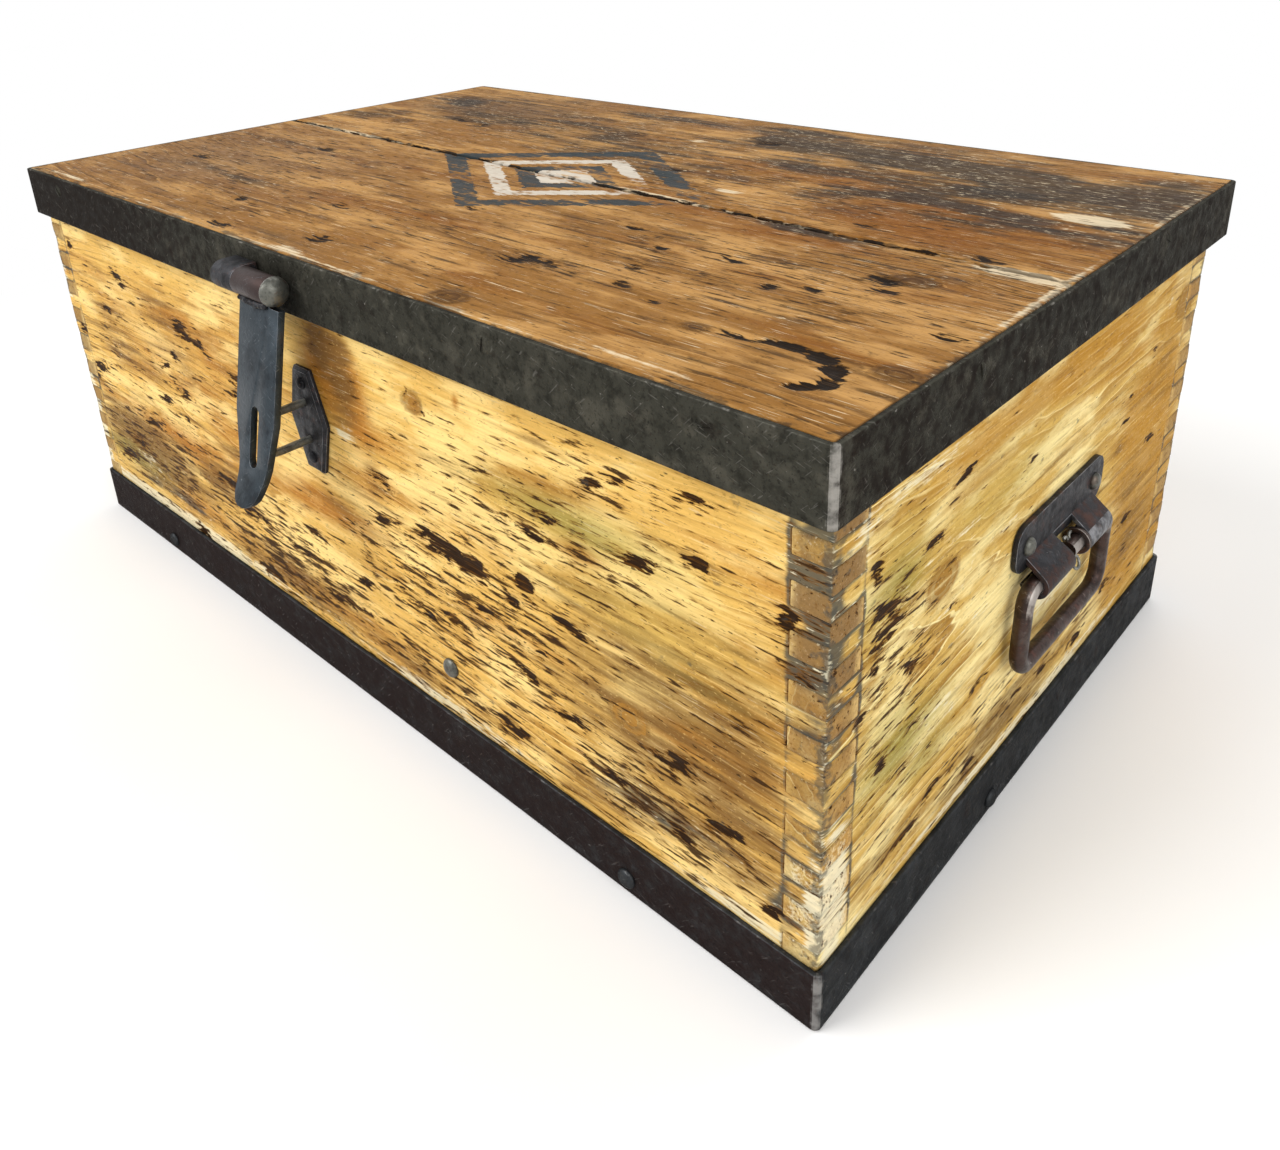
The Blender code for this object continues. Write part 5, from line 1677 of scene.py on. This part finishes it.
@dataclass
class Hasp:
    """The hasp: barrel and pin on the lid, strap with a weld bead, staple plate and loop on the front."""

    axis: tuple[float, float, float] = (0.0, -0.2425, 0.300)
    lean: float = math.radians(12.5)
    bead_ends: tuple[float, float] = (-0.019, 0.0085)
    bead_drop: float = 0.0092
    bead_out: float = 0.0030
    bead_radius: float = 0.0024
    bead_lumps: int = 17
    bead_sag: float = 0.0012
    barrel: float = 0.0095
    staple_z: float = 0.207
    staple_span: float = 0.026
    staple_radius: float = 0.00275
    staple_reach: float = 0.033
    staple_bend: float = 0.006
    staple_sunk: float = 0.016
    wall: float = -0.2245

    # How tarnished the strap's barrel is, how bright the loop's top is as a painted highlight, how worn the
    # bead is, and the bead's draw and sizes of lumps
    STRAP_TARNISH, LOOP_WEAR, BEAD_WEAR, BEAD_SEED = 0.9, 1.1, 0.2, 5
    LUMP_SIZES = {"Min": (0.8, 0.75, 0.75), "Max": (1.3, 1.15, 1.15)}

    def build(self, steel: bpy.types.Material, iron: bpy.types.Material, head: bpy.types.Material) -> None:
        """Make the hasp's pieces.

        Args:
            steel: the strap's metal.
            iron: barrel, plate and loop.
            head: the pin's metal.
        """
        foot = self.axis[2] - self.barrel
        dress(
            "hasp_strap", 0.7, steel, Body.HASP, Slot.HASP_STEEL,
            tarnish=lambda at, way: self.STRAP_TARNISH * (at[:, 2] > foot),
        )
        dress("hasp_knuckle", 0.6, iron, Body.LID, Slot.HANDLE_IRON)
        dress("hasp_pin", 0.5, head, Body.LID, Slot.FASTENER_IRON)
        dress("staple_plate", 0.5, iron, Body.BOX, Slot.HANDLE_IRON)
        self.loop(head)
        self.bead(iron)

    def loop(self, iron: bpy.types.Material) -> None:
        """Bend the staple's loop, with a painted highlight on its upward faces.

        Args:
            iron: its metal.
        """
        half, tip = self.staple_span / 2, self.wall - self.staple_reach
        inside = self.wall + self.staple_sunk
        corners = [(inside, half), (tip, half), (tip, -half), (inside, -half)]
        path = [(0.0, y, self.staple_z + z) for y, z in rounded(corners, self.staple_bend)]
        rod = BentRod("staple_loop_bar", path, self.staple_radius, seed=11).build(iron)
        # Painted highlight: faces of the loop that look up are drawn brighter
        face_mask(rod.data, "wear", lambda at, way: self.LOOP_WEAR * np.clip(way[:, 2], 0, 1))
        seat(rod, Body.BOX, Slot.HANDLE_IRON, "staple_loop")

    def bead(self, iron: bpy.types.Material) -> None:
        """Lay a lumpy weld bead where the strap meets its barrel.

        Args:
            iron: its metal.
        """
        grow = Growth("weld_bead_tree")
        add = grow.web.add
        radius, count = grow.size("Radius", self.bead_radius), grow.size("Lumps", self.bead_lumps)
        draw = grow.size("Seed", self.BEAD_SEED)
        line = add("GeometryNodeMeshToCurve", {"Mesh": grow.entry.outputs[0]})
        line = add("GeometryNodeResampleCurve", {"Curve": line, "Count": count}, mode="COUNT")
        lump = add("GeometryNodeMeshIcoSphere", {"Radius": radius, "Subdivisions": 2})
        size = add("FunctionNodeRandomValue", {**self.LUMP_SIZES, "Seed": draw}, data_type="FLOAT_VECTOR")
        feeds = {"Points": line, "Instance": lump, "Scale": size.outputs["Value"]}
        beads = add("GeometryNodeInstanceOnPoints", feeds)
        c, s = math.cos(self.lean), math.sin(self.lean)
        down, out = Vector((0, -s, -c)), Vector((0, -c, s))
        at = Vector(self.axis) + down * self.bead_drop + out * self.bead_out
        left, right = (Vector((end, 0, 0)) for end in self.bead_ends)
        sag = Vector((0, 0, -self.bead_sag))
        seed = bpy.data.meshes.new("weld_bead")
        seed.from_pydata([at + left, at + sag, at + right], [(0, 1), (1, 2)], [])
        piece = grow.run("weld_bead", seed, beads, iron)
        piece.data.shade_smooth()
        write_floats(piece.data, "wear", np.full(len(piece.data.polygons), self.BEAD_WEAR), "FACE")
        seat(piece, Body.HASP, Slot.HASP_STEEL)


@dataclass
class Handle:
    """One end's lifting handle: riveted plate with a rolled hood, bail, washer and split pin."""

    name: str
    side: int
    body: Body
    axis_x: float = 0.3945
    across: float = 0.0095
    up: float = 0.155
    top_half: float = 0.055
    foot_half: float = 0.056
    drop: float = 0.051
    shoulder: float = 0.009
    bend: float = 0.011
    radius: float = 0.005
    ends: tuple[float, float] = (-0.0147, -0.0007)
    hood_x: float = 0.3905
    flap: float = 0.010

    # How tarnished the hood's left part is, how worn its right part is, and how bright the bail's shoulders
    # are, as rubbed metal and a painted highlight
    HOOD_TARNISH, HOOD_WEAR, SHOULDER_WEAR = 0.3, 0.95, 1.15

    def build(self, plate: bpy.types.Material, bar: bpy.types.Material, wire: bpy.types.Material) -> None:
        """Make the handle's pieces.

        Args:
            plate: the plate's iron.
            bar: the bail's rusty iron.
            wire: the split pin's steel.
        """
        divide = self.across + self.flap

        def hood(at: np.ndarray) -> np.ndarray:
            """Where the plate is rolled out into its hood."""
            return np.abs(at[:, 0]) > self.hood_x

        dress(
            f"{self.name}_handle_plate", 0.5, plate, Body.BOX, Slot.HANDLE_IRON,
            tarnish=lambda at, way: self.HOOD_TARNISH * hood(at) * (at[:, 1] < divide),
            wear=lambda at, way: self.HOOD_WEAR * hood(at) * (at[:, 1] > divide),
        )
        ends = [(y, 0) for y in self.ends]
        top, wide, low = self.top_half, self.foot_half, -self.drop
        first = rounded([ends[0], (-top, 0), (-wide, low)], self.shoulder)
        under = rounded([(-top, 0), (-wide, low), (wide, low), (top, 0)], self.bend)
        last = rounded([(wide, low), (top, 0), ends[1]], self.shoulder)
        line = first[:-1] + under[1:-1] + last[1:]
        path = [(self.side * self.axis_x, self.across + y, self.up + z) for y, z in line]
        bail = BentRod(f"{self.name}_bail_bar", path, self.radius, seed=21).build(bar)

        def worn_and_lit_shoulders(at: np.ndarray, way: np.ndarray) -> np.ndarray:
            """Rubbed bare metal and a painted highlight on the outside of the bail's upper half, stronger
            towards the top.
            """
            high = np.clip((at[:, 2] - self.up + self.drop) / self.drop, 0, 1)
            return self.SHOULDER_WEAR * high * np.clip(1.6 * self.side * way[:, 0], 0, 1)

        # Painted highlight over rubbed metal: the bail's upper outer faces are drawn bright
        face_mask(bail.data, "wear", worn_and_lit_shoulders)
        seat(bail, self.body, Slot.HANDLE_IRON, f"{self.name}_bail")
        dress(f"{self.name}_handle_washer", 0.3, bar, self.body, Slot.HANDLE_IRON)
        dress(f"{self.name}_handle_split_pin", 0.3, wire, self.body, Slot.FASTENER_IRON)


@dataclass
class Studio:
    """Pale floor, soft light and the photograph's camera."""

    focal_px: float = 1070.9
    centre_px: tuple[float, float] = (642.0, 345.0)
    azimuth: float = 43.10
    elevation: float = 22.37
    roll: float = 2.06
    eye: tuple[float, float, float] = (0.5729, -0.5289, 0.5018)
    sensor: float = 36.0
    ambient: float = 0.62
    floor_half: float = 12.0
    floor_drop: float = 0.0004
    floor_colours: tuple[str, str] = ("#f6f5f3", "#fbfaf9")
    floor_stops: tuple[float, float] = (0.3, 0.7)
    floor_rough: float = 0.9
    floor_fade: tuple[float, float] = (0.55, 1.15)
    clip: tuple[float, float] = (0.01, 100.0)

    # Place, aim, size and power of each lamp
    LAMPS = (
        ((-1.3, -2.3, 2.7), (0.0, 0.0, 0.1), 2.4, 80.0),
        ((2.6, -0.9, 1.7), (0.2, 0.0, 0.1), 2.0, 34.0),
        ((0.2, 1.7, 2.8), (0.0, 0.0, 0.3), 2.2, 22.0),
    )

    def build(self) -> None:
        """Set up the camera, the world, the lamps and the floor."""
        scene = bpy.context.scene
        scene.view_settings.view_transform = "Standard"
        self.camera()
        self.world()
        for i, (place, aim, size, power) in enumerate(self.LAMPS):
            lamp = bpy.data.lights.new(f"lamp_{i}", "AREA")
            lamp.shape, lamp.size, lamp.energy = "DISK", size, power
            made = bpy.data.objects.new(f"lamp_{i}", lamp)
            made.location = place
            made.rotation_euler = (Vector(aim) - Vector(place)).to_track_quat("-Z", "Y").to_euler()
            scene.collection.objects.link(made)
        self.floor()

    def camera(self) -> None:
        """Stand the camera where the photograph was taken from."""
        data = bpy.data.cameras.new("camera")
        wide, high = IMAGE_SIZE
        data.sensor_fit, data.sensor_width = "HORIZONTAL", self.sensor
        data.lens = self.focal_px / wide * self.sensor
        data.shift_x = (wide / 2 - self.centre_px[0]) / wide
        data.shift_y = (self.centre_px[1] - high / 2) / wide
        data.clip_start, data.clip_end = self.clip
        a, e, r = (math.radians(v) for v in (self.azimuth, self.elevation, self.roll))
        ahead = Vector((-math.sin(a) * math.cos(e), math.cos(a) * math.cos(e), -math.sin(e)))
        right = Vector((math.cos(a), math.sin(a), 0))
        down = ahead.cross(right)
        across = right * math.cos(r) + down * math.sin(r)
        below = down * math.cos(r) - right * math.sin(r)
        turn = Matrix((across, -below, -ahead)).transposed()
        made = bpy.data.objects.new("camera", data)
        made.matrix_world = Matrix.Translation(self.eye) @ turn.to_4x4()
        bpy.context.scene.collection.objects.link(made)
        bpy.context.scene.camera = made

    @staticmethod
    def looked_at(add: Add) -> object:
        """One for rays from the eye or off something shiny, nought for soft light.

        Args:
            add: writes a node into a shader tree.

        Returns:
            The node that says so.
        """
        path = add("ShaderNodeLightPath").outputs
        seen = path["Is Camera Ray"]
        for other in ("Is Glossy Ray", "Is Transmission Ray"):
            seen = add("ShaderNodeMath", {0: seen, 1: path[other]}, operation="MAXIMUM")
        return seen

    def world(self) -> None:
        """Plain soft light all round, white where it is looked at."""
        world = bpy.data.worlds.new("studio")
        add = Web.shading(world).add
        soft = add("ShaderNodeBackground", {"Color": WHITE, "Strength": self.ambient})
        white = add("ShaderNodeBackground", {"Color": WHITE, "Strength": 1.0})
        both = add("ShaderNodeMixShader", {0: self.looked_at(add), 1: soft, 2: white})
        add("ShaderNodeOutputWorld", {"Surface": both})
        bpy.context.scene.world = world

    def floor(self) -> None:
        """Lay the floor, a pale matt sheet that keeps the shadow near the chest and is white further off."""
        half, low = self.floor_half, -self.floor_drop
        mesh = bpy.data.meshes.new("floor")
        corners = [(x * half, y * half, low) for x, y in ((-1, -1), (1, -1), (1, 1), (-1, 1))]
        mesh.from_pydata(corners, [], [(0, 1, 2, 3)])
        made = bpy.data.materials.new("matt_paper_sheet")
        add = Web.shading(made).add
        coords = add("ShaderNodeTexCoord").outputs["Object"]
        grain = add("ShaderNodeTexNoise", {"Vector": coords, "Scale": 3.0, "Detail": 2.0})
        tint = add("ShaderNodeValToRGB", {"Fac": grain}, ramp=list(zip(self.floor_stops, self.floor_colours)))
        sheet = add("ShaderNodeBsdfPrincipled", {"Base Color": tint, "Roughness": self.floor_rough})
        away = add("ShaderNodeVectorMath", {0: coords}, operation="LENGTH").outputs["Value"]
        near, far = self.floor_fade
        feeds = {"Value": away, "From Min": near, "From Max": far}
        fade = add("ShaderNodeMapRange", feeds, interpolation_type="SMOOTHSTEP")
        fade = add("ShaderNodeMath", {0: fade, 1: self.looked_at(add)}, operation="MULTIPLY")
        white = add("ShaderNodeEmission", {"Color": WHITE, "Strength": 1.0})
        shader = add("ShaderNodeMixShader", {0: fade, 1: sheet, 2: white})
        add("ShaderNodeOutputMaterial", {"Surface": shader})
        mesh.materials.append(made)
        new_object("floor", mesh)


class Finishes:
    """Every finish of the chest, each made once."""

    # Varnished pine, gone honey-yellow: pale bands, dark fine dashes, brown where water stood
    BODY = {
        "early": "#e2b55f", "late": "#ab7a31", "light": "#ffdd8e", "amber": "#ad6c1c", "brown": "#7c582b",
        "pit": "#2a1806", "halo": "#74490f", "green": "#8a8a45", "pale": "#ece3c2", "end": "#94703f",
        "raw": "#c9a56b", "grime": "#464844",
    }
    # The ends' boards, a shade paler and greener
    ENDS = {
        **BODY, "early": "#d3ac59", "light": "#fbe7a4", "late": "#a1742a", "brown": "#7f5d26",
        "amber": "#b5801f", "green": "#90863a",
    }
    # Oiled pine, brown with handling: golden streaks, grey-brown stains, pale scuffs
    LID = {
        "early": "#8f642f", "late": "#4f3110", "light": "#c19356", "amber": "#7c480c", "brown": "#422d15",
        "pit": "#1a1007", "halo": "#41290c", "green": "#77593c", "pale": "#e0cfae", "end": "#6d4f30",
        "raw": "#b58f5e", "grime": "#2e2822",
    }
    # Bare sawn pine, dry and dusty
    BARE = {
        "early": "#cfab74", "late": "#ad8650", "light": "#dcc08e", "amber": "#c0955a", "brown": "#8e6d42",
        "pit": "#4a3520", "halo": "#876540", "green": "#9a8c58", "pale": "#dcc8a0", "end": "#a58059",
        "raw": "#c9a673", "grime": "#6b5436",
    }

    def __init__(self) -> None:
        """Make the materials."""
        self.body_x = Pine("varnished_pine_along_x", Grain.ALONG_X, **self.BODY).material()
        ends = {"rings": 0.95, "broad": 0.3, **self.ENDS}
        self.body_y = Pine("varnished_pine_along_y", Grain.ALONG_Y, **ends).material()
        self.lid = Pine(
            "oiled_pine", Grain.ALONG_X, gouges=0.8, streaks=0.9, rings=0.9, scuffs=0.75, gloss=0.06,
            paint=("#cfc6b7", "#2b3539"), **self.LID
        ).material()
        dry = {"gouges": 0.3, "rough": (0.65, 0.8), **self.BARE}
        self.bare_x = Pine("bare_pine_along_x", Grain.ALONG_X, **dry).material()
        self.bare_y = Pine("bare_pine_along_y", Grain.ALONG_Y, **dry).material()
        # Rolled iron strip, black with scale: dull mottling, brown bloom, bright where it is rubbed
        self.lid_strip = Iron(
            "scaled_iron_strip", "#3e3d36", "#161512", "#5b584e", "#241d19", "#a5a19a", mottle_mm=8.0,
            scratches=0.18, mottling=0.5, glance="#8e8a83",
        ).material()
        self.foot_strip = Iron(
            "scaled_iron_foot_strip", "#36383a", "#191a1b", "#4b4e51", "#2a1f1e", "#8f8d8b", rusting=0.6,
            mottle_mm=8.0, mottling=0.5, glance="#8e8a83",
        ).material()
        # Flat mild steel, smooth from handling; its blue-grey skin and pale are partly the steel's own colour
        # and partly painted reflection of the sky
        self.strap = Iron(
            "blued_steel", "#373f45", "#1f2429", "#525c64", "#3d2e2a", "#99a1a7", metal=0.85,
            rough=(0.36, 0.55), rusting=0.3, mottle_mm=24.0,
        ).material()
        # Blacksmith's iron with a brown skin
        self.plate = Iron("forged_iron", "#2b2b2e", "#161618", "#434448", "#5a4038", "#97979a").material()
        self.bail = Iron(
            "rusty_bar", "#43342f", "#2b2321", "#57504c", "#5a3a31", "#a59e98", rusting=0.7, rough=(0.3, 0.5)
        ).material()
        # Turned steel heads, dull grey
        self.head = Iron(
            "dull_steel", "#66665f", "#3f3f3a", "#7d7d76", "#5a4438", "#b5b5ae", rough=(0.36, 0.54),
            mottle_mm=6.0,
        ).material()


def dress_fasteners(finish: Finishes) -> None:
    """Set every screw, nail and rivet.

    Args:
        finish: the chest's materials.
    """
    ends, pair = {"left": Face.LEFT, "right": Face.RIGHT}, (1, 2)
    screws = {f"lid_screw_front_{i}": Face.FRONT for i in (1, 2, 3)}
    screws |= {f"lid_screw_{end}_{i}": face for end, face in ends.items() for i in pair}
    Heads("lid_screws", Body.LID, HeadKind.SLOTTED, 0.005, 0.0022, screws, 0.0003, 7).build(finish.lid_strip)
    for part, body, face, seed in (("lid", Body.LID, Face.UNDER, 8), ("box", Body.BOX, Face.BACK, 9)):
        screws = {f"{end}_hinge_{part}_screw_{i}": face for end in ends for i in pair}
        heads = Heads(f"{part}_hinge_screws", body, HeadKind.SLOTTED, 0.004, 0.002, screws, 0.0003, seed)
        heads.build(finish.head)
    nails = {f"bottom_nail_front_{i}": Face.FRONT for i in pair}
    nails |= {f"bottom_nail_{end}": face for end, face in ends.items()}
    rivets = {f"{end}_handle_rivet_{i}": face for end, face in ends.items() for i in pair}
    staple = {f"staple_nail_{i}": Face.FRONT for i in pair}
    for name, radius, height, seats, metal in (
        ("foot_nails", 0.006, 0.003, nails, finish.foot_strip),
        ("handle_rivets", 0.0055, 0.0035, rivets, finish.head),
        ("staple_nails", 0.004, 0.002, staple, finish.plate),
        ("front_bolt_head", 0.0065, 0.0035, {"front_bolt": Face.FRONT}, finish.head),
    ):
        Heads(name, Body.BOX, HeadKind.DOMED, radius, height, seats).build(metal)


def dress_hinges(finish: Finishes) -> None:
    """Round and dress the back hinges.

    Args:
        finish: the chest's materials.
    """
    for side in ("left", "right"):
        for part, body in (("box_leaf", Body.BOX), ("lid_leaf", Body.LID)):
            dress(f"{side}_hinge_{part}", 0.35, finish.plate, body, Slot.HANDLE_IRON)
        dress(f"{side}_hinge_pin", 0.4, finish.head, Body.BOX, Slot.FASTENER_IRON)


def main() -> None:
    """Build the chest's looks in order."""
    logging.basicConfig(level=logging.INFO, format="%(message)s", stream=sys.stdout)
    finish = Finishes()
    Box().build(finish.body_x, finish.body_y, finish.bare_x)
    Lid().build(finish.lid, finish.bare_y)
    Strip("lid_iron", "lid_strip", Body.LID, 0.390, -0.2325, 0.2535, 0.281, seed=4).build(finish.lid_strip)
    foot = Strip(
        "foot_iron", "bottom_strip", Body.BOX, 0.3888, -0.2278, 0.2278, 0.0, seed=9, tarnish=(0.0, 0.6, 0.1)
    )
    foot.build(finish.foot_strip)
    Hasp().build(finish.strap, finish.plate, finish.head)
    Handle("right", 1, Body.RIGHT_BAIL).build(finish.plate, finish.bail, finish.head)
    Handle("left", -1, Body.LEFT_BAIL).build(finish.plate, finish.bail, finish.head)
    dress_fasteners(finish)
    dress_hinges(finish)
    Studio().build()


if __name__ == "__main__":
    main()
